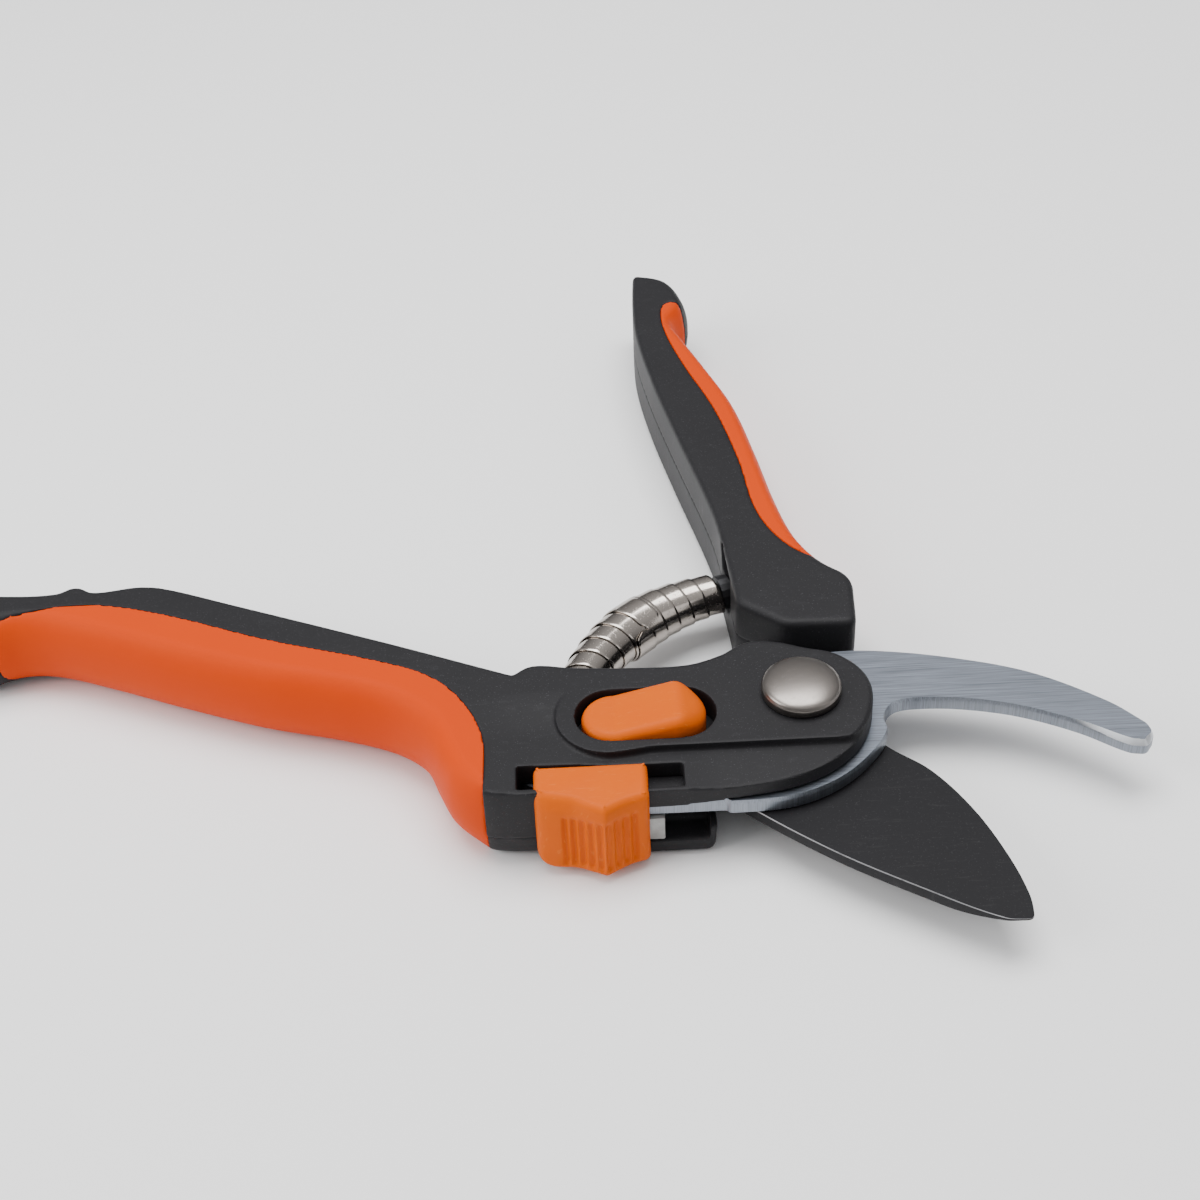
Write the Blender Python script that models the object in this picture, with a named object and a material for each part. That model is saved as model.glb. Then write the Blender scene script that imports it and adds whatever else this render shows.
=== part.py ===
# Bypass pruner, lying flat and fully open. Metres, +Z up.
# The origin is on the hinge axis, at the flat lower face of the hinge nut.
# +X runs towards the blade tips, +Y towards the handle that swings.
# Outlines below are plan views in millimetres. A third number marks a corner, and is how
# much of the corner is eased away; every other point is passed through smoothly.
import math

import bmesh
import bpy
from mathutils import Vector

MM = 0.001
GAP = 0.3            # clearance between neighbouring pieces
THICK = 18.0         # both handles, lower face to upper face
SPLIT = 6.5          # where the fixed handle's two shells meet
LEDGE = 16.5         # lower step of the head, which carries the lock slide
BLADE = (6.8, 9.3)   # cutting blade, lower and upper face
HOOK = (9.6, 12.6)   # hook blade, lower and upper face
HEAD_RIM = 7.15      # radius of the domed hinge bolt's head
SHANK = 3.5          # radius of the hinge bolt's shank
BUSH = 5.0           # outer radius of the bush that the cutting blade turns on
SELECTOR_TRAVEL = 1.5
SPRING_FROM = (-40.4, 12.3)
SPRING_TO = (-12.4, 38.0)
SPRING_HEIGHT = 9.0

UPPER_OUTLINE = [
    (-9.4, 25.2, 1.5), (-0.8, 18.4, 1.5), (12.4, 18.0, 2.0), (13.2, 31.4, 3.0), (8.6, 38.0),
    (4.6, 46.0), (1.7, 58.4), (-0.9, 75.2), (-3.9, 91.2), (-8.8, 105.6), (-12.6, 118.5),
    (-13.2, 124.0), (-11.7, 131.0), (-12.9, 137.6), (-16.6, 142.2), (-23.4, 143.4, 2.0),
    (-24.6, 130.0), (-24.4, 117.8), (-22.1, 101.1), (-18.3, 82.0), (-12.3, 54.0), (-10.7, 40.0)]
UPPER_SEAM = [
    (16.0, 37.0), (7.5, 37.4), (1.4, 42.4), (-3.1, 52.6), (-5.2, 69.4), (-8.8, 87.5),
    (-14.6, 105.8), (-17.8, 119.5), (-17.6, 128.0), (-14.6, 129.6), (-12.0, 126.0), (-5.0, 123.6)]
UPPER_OUTSIDE = [(20.0, 122.0, 0.0), (20.0, 38.0, 0.0)]
UPPER_CORE = [(-1.2, 50.0), (-4.0, 66.0), (-8.0, 88.0), (-14.0, 108.0), (-17.0, 122.0),
              (-20.5, 121.0), (-18.0, 96.0), (-9.0, 55.0)]

LOWER_OUTLINE = [
    (12.9, 0.0), (11.6, 5.7), (7.4, 10.2), (1.8, 12.2), (-3.0, 14.0), (-8.6, 14.3),
    (-14.0, 11.0), (-20.0, 9.0), (-29.0, 8.9), (-38.6, 9.5), (-47.6, 10.2), (-51.6, 7.6, 0.6),
    (-58.0, 10.5), (-75.7, 18.5), (-105.6, 31.4), (-119.0, 37.0), (-124.0, 37.8),
    (-132.6, 36.8), (-136.2, 38.9, 1.6), (-139.8, 36.9), (-150.0, 37.0), (-157.6, 38.4, 1.2),
    (-160.0, 33.5), (-157.6, 28.2), (-153.0, 27.0), (-146.5, 28.4), (-140.8, 27.6),
    (-131.0, 23.8), (-114.9, 16.8), (-99.5, 10.7), (-84.7, 6.3), (-75.2, 2.2), (-70.0, -3.2),
    (-66.6, -11.0), (-62.6, -17.0), (-56.0, -20.4), (-48.0, -20.7), (-14.0, -20.3),
    (-5.0, -19.2), (1.4, -16.9), (7.0, -13.0), (11.0, -7.6)]
LOWER_SEAM = [
    (-151.6, 20.0), (-150.5, 30.4), (-143.0, 33.6), (-131.7, 33.9), (-117.9, 29.7), (-97.4, 20.9),
    (-79.2, 14.6), (-68.0, 9.6), (-61.6, 3.2), (-57.3, -6.4), (-56.4, -18.0), (-56.4, -30.0)]
LOWER_OUTSIDE = [(-70.0, -30.0, 0.0), (-120.0, -10.0, 0.0)]
LOWER_CORE = [(-61.0, 0.0), (-66.0, -2.0), (-78.0, 8.2), (-100.0, 15.5), (-128.0, 27.5),
              (-140.0, 31.0), (-138.0, 34.6), (-118.0, 32.5), (-95.0, 24.0), (-66.0, 11.0)]
BASE_OUTLINE = [
    (0.0, -12.6), (9.0, -9.0), (12.6, 0.0), (9.0, 9.0), (0.0, 12.6), (-8.6, 13.2),
    (-14.0, 10.6), (-20.0, 8.8), (-29.0, 8.7), (-38.6, 9.3), (-47.6, 10.0), (-51.6, 7.4, 0.6)]
BASE_FRONT = [(-48.0, -20.9), (-16.6, -20.9, 1.6), (-16.6, -8.5, 2.0), (-9.5, -8.9)]

HOOK_OUTLINE = [
    (61.9, -9.2, 0.8), (60.1, -11.7, 0.8), (57.0, -11.0), (49.3, -5.6), (39.5, -0.8), (29.5, 1.8),
    (21.0, 2.4), (16.9, 1.4), (15.0, -1.8), (15.2, -4.9), (13.0, -9.0), (7.6, -14.8),
    (1.5, -18.6), (-5.0, -20.5), (-14.2, -20.9, 0.3), (-14.8, -20.4, 0.3), (-43.6, -20.4, 1.0),
    (-46.6, -17.0), (-54.2, -10.5), (-57.2, -3.0), (-60.0, 3.2), (-65.0, 8.6), (-72.0, 12.8),
    (-92.0, 20.6, 1.2), (-90.6, 23.6, 1.2), (-74.0, 16.6), (-60.0, 9.2), (-50.0, 5.6),
    (-40.0, 7.2),
    (-20.0, 7.2), (-12.0, 10.2), (-3.5, 13.6), (5.0, 15.8), (14.4, 15.9), (28.0, 13.3),
    (42.7, 8.2), (55.4, -0.3), (61.3, -6.6, 0.8)]
BLADE_OUTLINE = [
    (33.6, -47.2, 1.2), (33.7, -42.0), (31.8, -33.2), (27.8, -22.3), (21.9, -12.5),
    (14.5, -5.5), (11.2, 1.0), (10.4, 14.0), (8.0, 26.0), (4.2, 35.0), (-1.0, 43.0),
    (-4.8, 54.0), (-6.0, 64.0, 1.5), (-11.6, 62.6, 1.5), (-9.0, 50.0), (-6.6, 40.0),
    (-5.2, 24.0), (-8.0, 13.4), (-14.0, 8.0),
    (-23.8, 4.0, 0.8), (-28.6, -0.8, 1.0), (-23.9, -5.5), (-12.1, -18.0), (2.6, -30.3),
    (16.3, -39.4), (28.6, -46.6)]

SLIDER_PLAN = [(-48.0, -14.9, 0.8), (-48.0, -23.4, 1.4), (-41.5, -24.8), (-36.2, -27.0, 0.8),
               (-28.6, -22.6, 0.8), (-28.6, -14.9, 0.8)]
SLIDER_FACE = -21.2      # the slider's outer block stands in front of this plane
SLOT = ((-51.0, -20.0), (-22.0, -14.4))
LIP = 16.6
BOLT = ((-36.0, -20.9), (-25.6, -16.2))
BOLT_TAIL = ((-36.0, -22.7), (-28.9, -20.0))
BOLT_TOP = 9.2
LOCK_LEAF = ((-43.0, -18.6), (-31.0, -16.2))
LEAF = (12.8, 13.1)      # both detent springs, lower and upper face
POCKET = ((-37.0, -26.0), (-17.7, -15.9))
POCKET_FLOOR = 3.6
HEAD_STEP = [(-52.0, -30.0), (30.0, -30.0), (30.0, -11.7), (-34.0, -11.7), (-39.0, -10.6),
             (-43.0, -13.0), (-52.0, -13.8)]
BUTTON_CENTRES = ((-33.6, -3.5), (-23.1, -3.5))
OPENING_CENTRES = ((-34.2, -3.5), (-21.8, -3.5))
BUTTON_RADIUS = 5.9
OPENING_RADIUS = 6.4
SELECTOR_PIN = (-29.0, -3.5)
PIN_RADIUS = 1.6
PIN_TOP = 17.0
SELECTOR_LEAF = ((-38.0, -5.0), (-32.5, -2.0))

LOWER_SCREWS = [(-50.4, -8.6), (-56.4, 4.4), (-112.0, 30.9)]
UPPER_SCREWS = [(-0.4, 33.5), (-8.2, 58.6), (-17.4, 98.0)]


def flat(points):
    # drops the corner marks
    return [Vector((p[0], p[1])) for p in points]


def trace(points, pieces=3):
    # dense closed outline through the points, with its marked corners eased
    count = len(points)
    place = flat(points)
    corner = [len(p) > 2 for p in points]
    dense = []
    marks = []
    for i in range(count):
        a, b = place[i], place[(i + 1) % count]
        length = (b - a).length
        start = (b - a) if corner[i] else (b - place[i - 1])
        after = place[(i + 2) % count]
        end = (b - a) if corner[(i + 1) % count] else (after - a)
        start = start.normalized() * length
        end = end.normalized() * length
        straight = corner[i] and corner[(i + 1) % count]
        marks.append((len(dense), points[i][2] if corner[i] else 0.0))
        for k in range(1 if straight else pieces):
            t = k / pieces
            dense.append(a * (2 * t ** 3 - 3 * t ** 2 + 1) + start * (t ** 3 - 2 * t ** 2 + t)
                         + b * (3 * t ** 2 - 2 * t ** 3) + end * (t ** 3 - t ** 2))
    ease = dict(marks)
    result = []
    for i, point in enumerate(dense):
        cut = ease.get(i, 0.0)
        near = [dense[j] for j in ease if ease[j] > (point - dense[j]).length and j != i]
        if near:
            continue
        if cut == 0.0:
            result.append(point)
            continue
        before, after = dense[i - 1], dense[(i + 1) % len(dense)]
        first = point + (before - point).normalized() * cut
        last = point + (after - point).normalized() * cut
        for t in (0.0, 0.33, 0.67, 1.0):
            result.append(first * (1 - t) ** 2 + point * 2 * t * (1 - t) + last * t ** 2)
    return counterclockwise(result)


def counterclockwise(points):
    area = sum(a.cross(b) for a, b in zip(points, points[1:] + points[:1]))
    return points if area > 0 else points[::-1]


def offset(points, distance):
    # moves a counterclockwise outline inwards, or outwards for a negative distance
    moved = []
    for i, point in enumerate(points):
        before = (point - points[i - 1]).normalized()
        after = (points[(i + 1) % len(points)] - point).normalized()
        inward = Vector((-before.y - after.y, before.x + after.x)).normalized()
        lean = max(0.5, inward.dot(Vector((-after.y, after.x))))
        amount = distance[i] if isinstance(distance, list) else distance
        moved.append(point + inward * (amount / lean))
    return moved


def stadium(centres, radius, steps=10):
    (x0, y0), (x1, _) = centres
    right = [Vector((x1 + radius * math.cos(a), y0 + radius * math.sin(a)))
             for a in (math.pi * (k / steps - 0.5) for k in range(steps + 1))]
    left = [Vector((x0 - radius * math.cos(a), y0 - radius * math.sin(a)))
            for a in (math.pi * (k / steps - 0.5) for k in range(steps + 1))]
    return right + left


def rectangle(corners):
    (x0, y0), (x1, y1) = corners
    return [Vector((x0, y0)), Vector((x1, y0)), Vector((x1, y1)), Vector((x0, y1))]


def new_object(name, mesh):
    thing = bpy.data.objects.new(name, mesh)
    bpy.context.scene.collection.objects.link(thing)
    return thing


def loft(name, rings):
    # closed body through rings of equal length, each a list of 3-D points in millimetres
    body = bmesh.new()
    rows = [[body.verts.new(Vector(p) * MM) for p in ring] for ring in rings]
    count = len(rows[0])
    for low, high in zip(rows, rows[1:]):
        for i in range(count):
            j = (i + 1) % count
            body.faces.new((low[i], low[j], high[j], high[i]))
    body.faces.new(rows[0][::-1])
    body.faces.new(rows[-1])
    mesh = bpy.data.meshes.new(name)
    body.to_mesh(mesh)
    body.free()
    return new_object(name, mesh)


def prism(name, outline, low, high):
    points = counterclockwise(list(outline))
    return loft(name, [[(p.x, p.y, z) for p in points] for z in (low, high)])


def stack(name, outline, layers, share):
    # layers are (height, inset); share says how much of the inset each point takes
    rings = []
    for height, inset in layers:
        ring = offset(outline, [inset * s for s in share])
        rings.append([(p.x, p.y, height) for p in ring])
    return loft(name, rings)


def turned(name, profile, centre=(0.0, 0.0, 0.0), axis=(0.0, 0.0, 1.0), sides=24):
    # closed ring or plug: the profile is (radius, height) pairs, outer side going up
    hub = Vector(centre)
    along = Vector(axis).normalized()
    side = along.orthogonal().normalized()
    other = along.cross(side)
    body = bmesh.new()
    rows = []
    for radius, height in profile:
        if radius == 0.0:
            rows.append([body.verts.new((hub + along * height) * MM)])
            continue
        ring = []
        for k in range(sides):
            turn = 2 * math.pi * k / sides
            spoke = side * math.cos(turn) + other * math.sin(turn)
            ring.append(body.verts.new((hub + along * height + spoke * radius) * MM))
        rows.append(ring)
    closed = rows if len(rows[0]) == 1 else rows + rows[:1]
    for low, high in zip(closed, closed[1:]):
        for k in range(sides):
            j = (k + 1) % sides
            if len(low) == 1:
                body.faces.new((low[0], high[j], high[k]))
            elif len(high) == 1:
                body.faces.new((low[k], low[j], high[0]))
            else:
                body.faces.new((low[k], low[j], high[j], high[k]))
    mesh = bpy.data.meshes.new(name)
    body.to_mesh(mesh)
    body.free()
    return new_object(name, mesh)


def drum(name, place, radius, low, high, sides=16):
    profile = [(0.0, low), (radius, low), (radius, high), (0.0, high)]
    return turned(name, profile, (place[0], place[1], 0.0), sides=sides)


def boolean(body, tool, operation="DIFFERENCE"):
    tool.hide_render = True
    tool.display_type = "WIRE"
    step = body.modifiers.new(tool.name, "BOOLEAN")
    step.operation = operation
    step.object = tool
    step.solver = "EXACT"
    return body


def soften(thing, angle=32.0):
    thing.data.shade_smooth()
    thing.data.set_sharp_from_angle(angle=math.radians(angle))
    return thing


def coloured(name, colour, roughness, metallic=0.0):
    paint = bpy.data.materials.new(name)
    paint.use_nodes = True
    surface = paint.node_tree.nodes["Principled BSDF"]
    surface.inputs["Base Color"].default_value = (*colour, 1.0)
    surface.inputs["Roughness"].default_value = roughness
    surface.inputs["Metallic"].default_value = metallic
    return paint


def finish(thing, paint, carrier):
    # gives the piece its own copy of a finish, and hangs it on its body's empty
    thing.data.materials.append(paint.copy())
    thing.data.materials[0].name = thing.name + "_finish"
    thing.parent = carrier
    thing.matrix_parent_inverse = carrier.matrix_world.inverted()
    return soften(thing)


def carrier(name, place):
    empty = bpy.data.objects.new(name, None)
    bpy.context.scene.collection.objects.link(empty)
    empty.location = Vector(place) * MM
    bpy.context.view_layer.update()
    return empty


def handle_layers(low, high):
    # rounding of a handle's edges: (height, inset) pairs between two heights
    full = [(0.0, 5.0), (1.5, 2.2), (4.0, 0.6), (9.0, 0.0), (14.0, 0.6), (16.5, 2.2), (18.0, 5.0)]
    inside = [pair for pair in full if low < pair[0] < high]
    return [(low, inset_at(full, low))] + inside + [(high, inset_at(full, high))]


def inset_at(pairs, height):
    for (z0, i0), (z1, i1) in zip(pairs, pairs[1:]):
        if z0 <= height <= z1:
            return i0 + (i1 - i0) * (height - z0) / (z1 - z0)
    return 0.0


def band(seam, outside, shift):
    # the part of a handle's plan that its soft grip covers; shift moves the seam outwards
    run = flat(seam)
    moved = []
    for i, point in enumerate(run):
        along = (run[min(i + 1, len(run) - 1)] - run[max(i - 1, 0)]).normalized()
        moved.append(point + Vector((along.y, -along.x)) * shift)
    corners = [(p.x, p.y) for p in moved]
    corners[0] = (*corners[0], 0.0)
    corners[-1] = (*corners[-1], 0.0)
    return trace(corners + outside)


def rounding(outline, seam, soft, hard, head=None):
    # how strongly each outline point is rounded: fully beside the grip, little elsewhere
    run = flat(seam)[1:-1]
    shares = []
    for point in outline:
        distances = [(point - p).length for p in run]
        nearest = distances.index(min(distances))
        along = run[min(nearest + 1, len(run) - 1)] - run[max(nearest - 1, 0)]
        outer = along.cross(point - run[nearest]) < 0.0
        in_head = head is not None and point.x > head
        shares.append(hard if in_head or not outer else soft)
    smooth = []
    for i in range(len(shares)):
        near = [shares[(i + k) % len(shares)] for k in (-2, -1, 0, 1, 2)]
        smooth.append(sum(near) / len(near))
    return smooth


def drilled(body, places, head_radius, head_depth, hole_top):
    # screw holes from below: a counterbore for the head, then a clearance hole
    for k, place in enumerate(places):
        hole = turned(f"{body.name}_hole_{k}", [
            (0.0, -1.0), (head_radius, -1.0), (head_radius, head_depth), (1.5, head_depth),
            (1.5, hole_top), (0.0, hole_top)], (place[0], place[1], 0.0), sides=14)
        boolean(body, hole)
    return body


def screws(prefix, places, paint, owner):
    profile = [(0.0, 0.4), (2.1, 0.4), (2.1, 1.9), (1.2, 2.2), (1.2, 14.0), (0.0, 14.6)]
    for place, word in zip(places, ("front", "middle", "rear")):
        piece = turned(f"{prefix}_screw_{word}", profile, (place[0], place[1], 0.0), sides=12)
        finish(piece, paint, owner)


def spring_path(share):
    # point and direction on the curve that the spring follows, an arc-like bend
    a, b = Vector(SPRING_FROM), Vector(SPRING_TO)
    spread = a.angle_signed(b)
    turn = math.atan2(a.y, a.x) - spread * share
    radius = a.length + (b.length - a.length) * share
    point = Vector((math.cos(turn), math.sin(turn))) * radius
    return point, Vector((-math.sin(turn), math.cos(turn))) * (-1.0)


def spring_seat(name, share, reach, paint, owner):
    # stepped steel peg; its flange backs the spring and its nose enters the coil
    point, along = spring_path(share)
    away = along if reach > 0 else -along
    profile = [(0.0, -2.6), (3.4, -2.6), (3.4, -0.4), (1.9, -0.4), (1.6, 2.6), (0.0, 2.8)]
    centre = (point.x, point.y, SPRING_HEIGHT)
    return finish(turned(name, profile, centre, (away.x, away.y, 0.0), 16), paint, owner)


def spring_pocket(name, share, reach):
    point, along = spring_path(share)
    away = along if reach > 0 else -along
    profile = [(0.0, -3.2), (4.4, -3.2), (4.4, 14.0), (0.0, 14.0)]
    centre = (point.x, point.y, SPRING_HEIGHT)
    return turned(name, profile, centre, (away.x, away.y, 0.0), 16)


def volute_spring(paint, owner):
    # hollow barrel, fattest in the middle, bent along the spring's path
    outer, inner = [], []
    stations, sides = 12, 14
    for k in range(stations + 1):
        share = k / stations
        point, along = spring_path(share)
        across = Vector((-along.y, along.x))
        swell = math.sin(math.pi * share)
        for ring, radius in ((outer, 3.9 + 1.9 * swell), (inner, 2.5 + 1.2 * swell)):
            row = []
            for j in range(sides):
                turn = 2 * math.pi * j / sides
                flat_part = point + across * (radius * math.cos(turn))
                row.append((flat_part.x, flat_part.y, SPRING_HEIGHT + radius * math.sin(turn)))
            ring.append(row)
    body = bmesh.new()
    loops = [[body.verts.new(Vector(p) * MM) for p in row] for row in outer + inner[::-1]]
    for low, high in zip(loops, loops[1:] + loops[:1]):
        for j in range(sides):
            n = (j + 1) % sides
            body.faces.new((low[j], low[n], high[n], high[j]))
    bmesh.ops.recalc_face_normals(body, faces=body.faces)
    mesh = bpy.data.meshes.new("volute_spring")
    body.to_mesh(mesh)
    body.free()
    return finish(new_object("volute_spring", mesh), paint, owner)


def upper_handle(paints, owner):
    outline = trace(UPPER_OUTLINE)
    share = rounding(outline, UPPER_SEAM, 1.0, 0.2)
    plan = {s: band(UPPER_SEAM, UPPER_OUTSIDE, s * GAP / 2) for s in (-1, 1)}
    core = trace(UPPER_CORE)

    lower_limit = HOOK[0]
    top = stack("upper_handle_top_shell", outline, handle_layers(lower_limit, THICK), share)
    boolean(top, prism("upper_top_seam", plan[-1], -1, 20))
    boolean(top, prism("upper_core", core, lower_limit + 0.1, 13.0), "UNION")
    boolean(top, spring_pocket("upper_top_pocket", 1.0, -1))
    drilled(top, UPPER_SCREWS, 1.5, 1.0, 15.0)
    finish(top, paints["shell"], owner)

    base = stack("upper_handle_bottom_shell", outline, handle_layers(0.0, BLADE[1]), share)
    boolean(base, prism("upper_base_seam", plan[-1], -1, 20))
    tang = offset(trace(BLADE_OUTLINE), -GAP)
    boolean(base, prism("upper_tang_pocket", tang, BLADE[0] - GAP, 20))
    boolean(base, spring_pocket("upper_base_pocket", 1.0, -1))
    drilled(base, UPPER_SCREWS, 2.4, 2.5, 15.0)
    finish(base, paints["shell"], owner)

    grip = stack("upper_grip", outline, handle_layers(0.0, THICK), share)
    boolean(grip, prism("upper_grip_band", plan[1], -1, 20), "INTERSECT")
    boolean(grip, prism("upper_grip_core", offset(core, -GAP), lower_limit - 0.2, 13.3))
    finish(grip, paints["grip"], owner)
    screws("upper", UPPER_SCREWS, paints["steel"], owner)


def lower_handle(paints, owner):
    outline = trace(LOWER_OUTLINE)
    share = rounding(outline, LOWER_SEAM, 1.0, 0.2, head=-50.0)
    plan = {s: band(LOWER_SEAM, LOWER_OUTSIDE, s * GAP / 2) for s in (-1, 1)}
    core = trace(LOWER_CORE)
    hook_room = offset(trace(HOOK_OUTLINE), -GAP)

    top = stack("lower_handle_top_shell", outline, handle_layers(SPLIT, THICK), share)
    boolean(top, prism("lower_top_seam", plan[-1], -1, 20))
    boolean(top, prism("lower_core", core, SPLIT + 0.1, 13.0), "UNION")
    boolean(top, prism("hook_room", hook_room, -1, HOOK[1] + GAP))
    boolean(top, prism("head_room", rectangle(((-44.8, -30.0), (30.0, 30.0))), -1,
                       HOOK[1] + GAP))
    boolean(top, prism("head_step", flat(HEAD_STEP), LEDGE, 20))
    boolean(top, prism("slider_slot", rectangle(SLOT), -1, 20))
    boolean(top, prism("button_opening", stadium(OPENING_CENTRES, OPENING_RADIUS), -1, 20))
    boolean(top, drum("bolt_hole_top", (0, 0), SHANK + GAP, -1, 20, 24))
    boolean(top, spring_pocket("lower_top_pocket", 0.0, 1))
    drilled(top, LOWER_SCREWS, 1.5, 1.0, 15.0)
    finish(top, paints["shell"], owner)

    handle_run = [p for p in LOWER_OUTLINE if p[0] < -52.0]
    base_plan = trace(BASE_OUTLINE + handle_run + BASE_FRONT)
    base_share = rounding(base_plan, LOWER_SEAM, 1.0, 0.2, head=-50.0)
    base = stack("lower_handle_bottom_shell", base_plan, handle_layers(0.0, SPLIT - GAP),
                 front_rounding(base_plan, base_share))
    boolean(base, prism("lower_base_seam", plan[-1], -1, 20))
    boolean(base, prism("bolt_pocket", rectangle(POCKET), POCKET_FLOOR, 20))
    boolean(base, drum("nut_recess", (0, 0), 7.3, -1, 3.0, 24))
    boolean(base, drum("bolt_hole_base", (0, 0), SHANK + GAP, -1, 20, 24))
    for k, place in enumerate(LOWER_SCREWS[:2]):
        boolean(base, drum(f"boss_{k}", place, 2.9, 3.5, HOOK[0] - GAP), "UNION")
    boolean(base, spring_pocket("lower_base_pocket", 0.0, 1))
    drilled(base, LOWER_SCREWS, 2.4, 2.5, 15.0)
    finish(base, paints["shell"], owner)

    grip = stack("lower_grip", outline, handle_layers(0.0, THICK), share)
    boolean(grip, prism("lower_grip_band", plan[1], -1, 20), "INTERSECT")
    boolean(grip, prism("lower_grip_core", offset(core, -GAP), SPLIT - 0.2, 13.3))
    finish(grip, paints["grip"], owner)
    screws("lower", LOWER_SCREWS, paints["steel"], owner)


def front_rounding(outline, share):
    # the bolt pocket's front edge is rounded underneath, like the grip beside it
    return [0.8 if p.y < -19.0 and p.x < -17.0 else s for p, s in zip(outline, share)]


def blades(paints, fixed, moving):
    hook = prism("hook_blade", trace(HOOK_OUTLINE, 4), *HOOK)
    boolean(hook, drum("hook_bolt_hole", (0, 0), SHANK + GAP, 0, 20, 24))
    for k, place in enumerate(LOWER_SCREWS[:2]):
        boolean(hook, drum(f"hook_screw_hole_{k}", place, 1.5, 0, 20, 14))
    x, y = SELECTOR_PIN
    pin_slot = stadium((SELECTOR_PIN, (x + SELECTOR_TRAVEL, y)), PIN_RADIUS + GAP, 6)
    boolean(hook, prism("selector_pin_slot", pin_slot, 0, 20))
    finish(hook, paints["hook"], fixed)

    blade = prism("cutting_blade", trace(BLADE_OUTLINE, 4), *BLADE)
    boolean(blade, drum("blade_bush_hole", (0, 0), BUSH + GAP, 0, 20, 24))
    for k, place in enumerate(UPPER_SCREWS[:2]):
        boolean(blade, drum(f"blade_screw_hole_{k}", place, 1.5, 0, 20, 14))
    finish(blade, paints["blade"], moving)


def hinge(paints, fixed, moving):
    dome = [(0.0, 1.0), (SHANK, 1.0), (SHANK, THICK + 0.25), (HEAD_RIM - 0.3, THICK + 0.25),
            (HEAD_RIM, THICK + 0.6), (HEAD_RIM, THICK + 1.9), (HEAD_RIM - 0.5, THICK + 2.4),
            (HEAD_RIM - 2.6, THICK + 3.1), (0.0, THICK + 3.5)]
    finish(turned("pivot_bolt", dome, sides=32), paints["nickel"], fixed)
    nut = [(0.0, 0.0), (6.2, 0.0), (6.6, 0.4), (6.6, 2.0), (SHANK + GAP, 2.0),
           (SHANK + GAP, 0.7), (0.0, 0.7)]
    finish(turned("pivot_nut", nut), paints["nickel"], fixed)
    washer = [(SHANK + GAP, 2.3), (6.0, 2.3), (6.0, 2.7), (SHANK + GAP, 2.7)]
    finish(turned("pivot_washer", washer), paints["steel"], fixed)
    bush = [(SHANK + GAP, BLADE[0]), (BUSH, BLADE[0]), (BUSH, BLADE[1]), (SHANK + GAP, BLADE[1])]
    finish(turned("pivot_bush", bush), paints["brass"], moving)


def lock(paints, slide, fixed):
    plan = trace(SLIDER_PLAN)
    slider = stack("lock_slider", plan, [(1.4, 0.7), (2.4, 0.0), (16.7, 0.0), (17.4, 0.6)],
                   [1.0] * len(plan))
    x0, x1 = SLOT[0][0] - 5.0, SLOT[1][0] + 5.0
    inner = rectangle(((x0, SLIDER_FACE), (x1, -10.0)))
    boolean(slider, prism("slider_room_low", inner, -1, HOOK[1] + 0.8))
    lip = rectangle(((x0, SLIDER_FACE), (x1, SLOT[0][1] + GAP)))
    boolean(slider, prism("slider_room_lip", lip, -1, LIP))
    seat = rectangle(((BOLT_TAIL[0][0] - GAP, BOLT_TAIL[0][1] - GAP), (x1, -10.0)))
    boolean(slider, prism("bolt_seat", seat, POCKET_FLOOR, BOLT_TOP + 0.4))
    finish(slider, paints["button"], slide)

    bolt = prism("lock_bolt", rectangle(BOLT), POCKET_FLOOR + GAP, BOLT_TOP)
    tail = prism("bolt_tail", rectangle(BOLT_TAIL), POCKET_FLOOR + GAP, BOLT_TOP)
    boolean(bolt, tail, "UNION")
    finish(bolt, paints["cast"], slide)

    leaf = prism("lock_detent_spring", rectangle(LOCK_LEAF), *LEAF)
    finish(leaf, paints["steel"], fixed)


def selector(paints, slide, fixed):
    plan = stadium(BUTTON_CENTRES, BUTTON_RADIUS)
    button = stack("selector_button", plan, [(13.4, 0.0), (18.2, 0.0), (19.2, 0.5),
                                             (19.8, 1.5)], [1.0] * len(plan))
    boolean(button, drum("selector_pin_hole", SELECTOR_PIN, PIN_RADIUS + GAP, 12,
                         PIN_TOP + GAP))
    finish(button, paints["button"], slide)
    pin = drum("selector_pin", SELECTOR_PIN, PIN_RADIUS, BLADE[1] + 0.4, PIN_TOP)
    finish(pin, paints["steel"], slide)
    leaf = prism("selector_detent_spring", rectangle(SELECTOR_LEAF), *LEAF)
    finish(leaf, paints["steel"], fixed)


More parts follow.
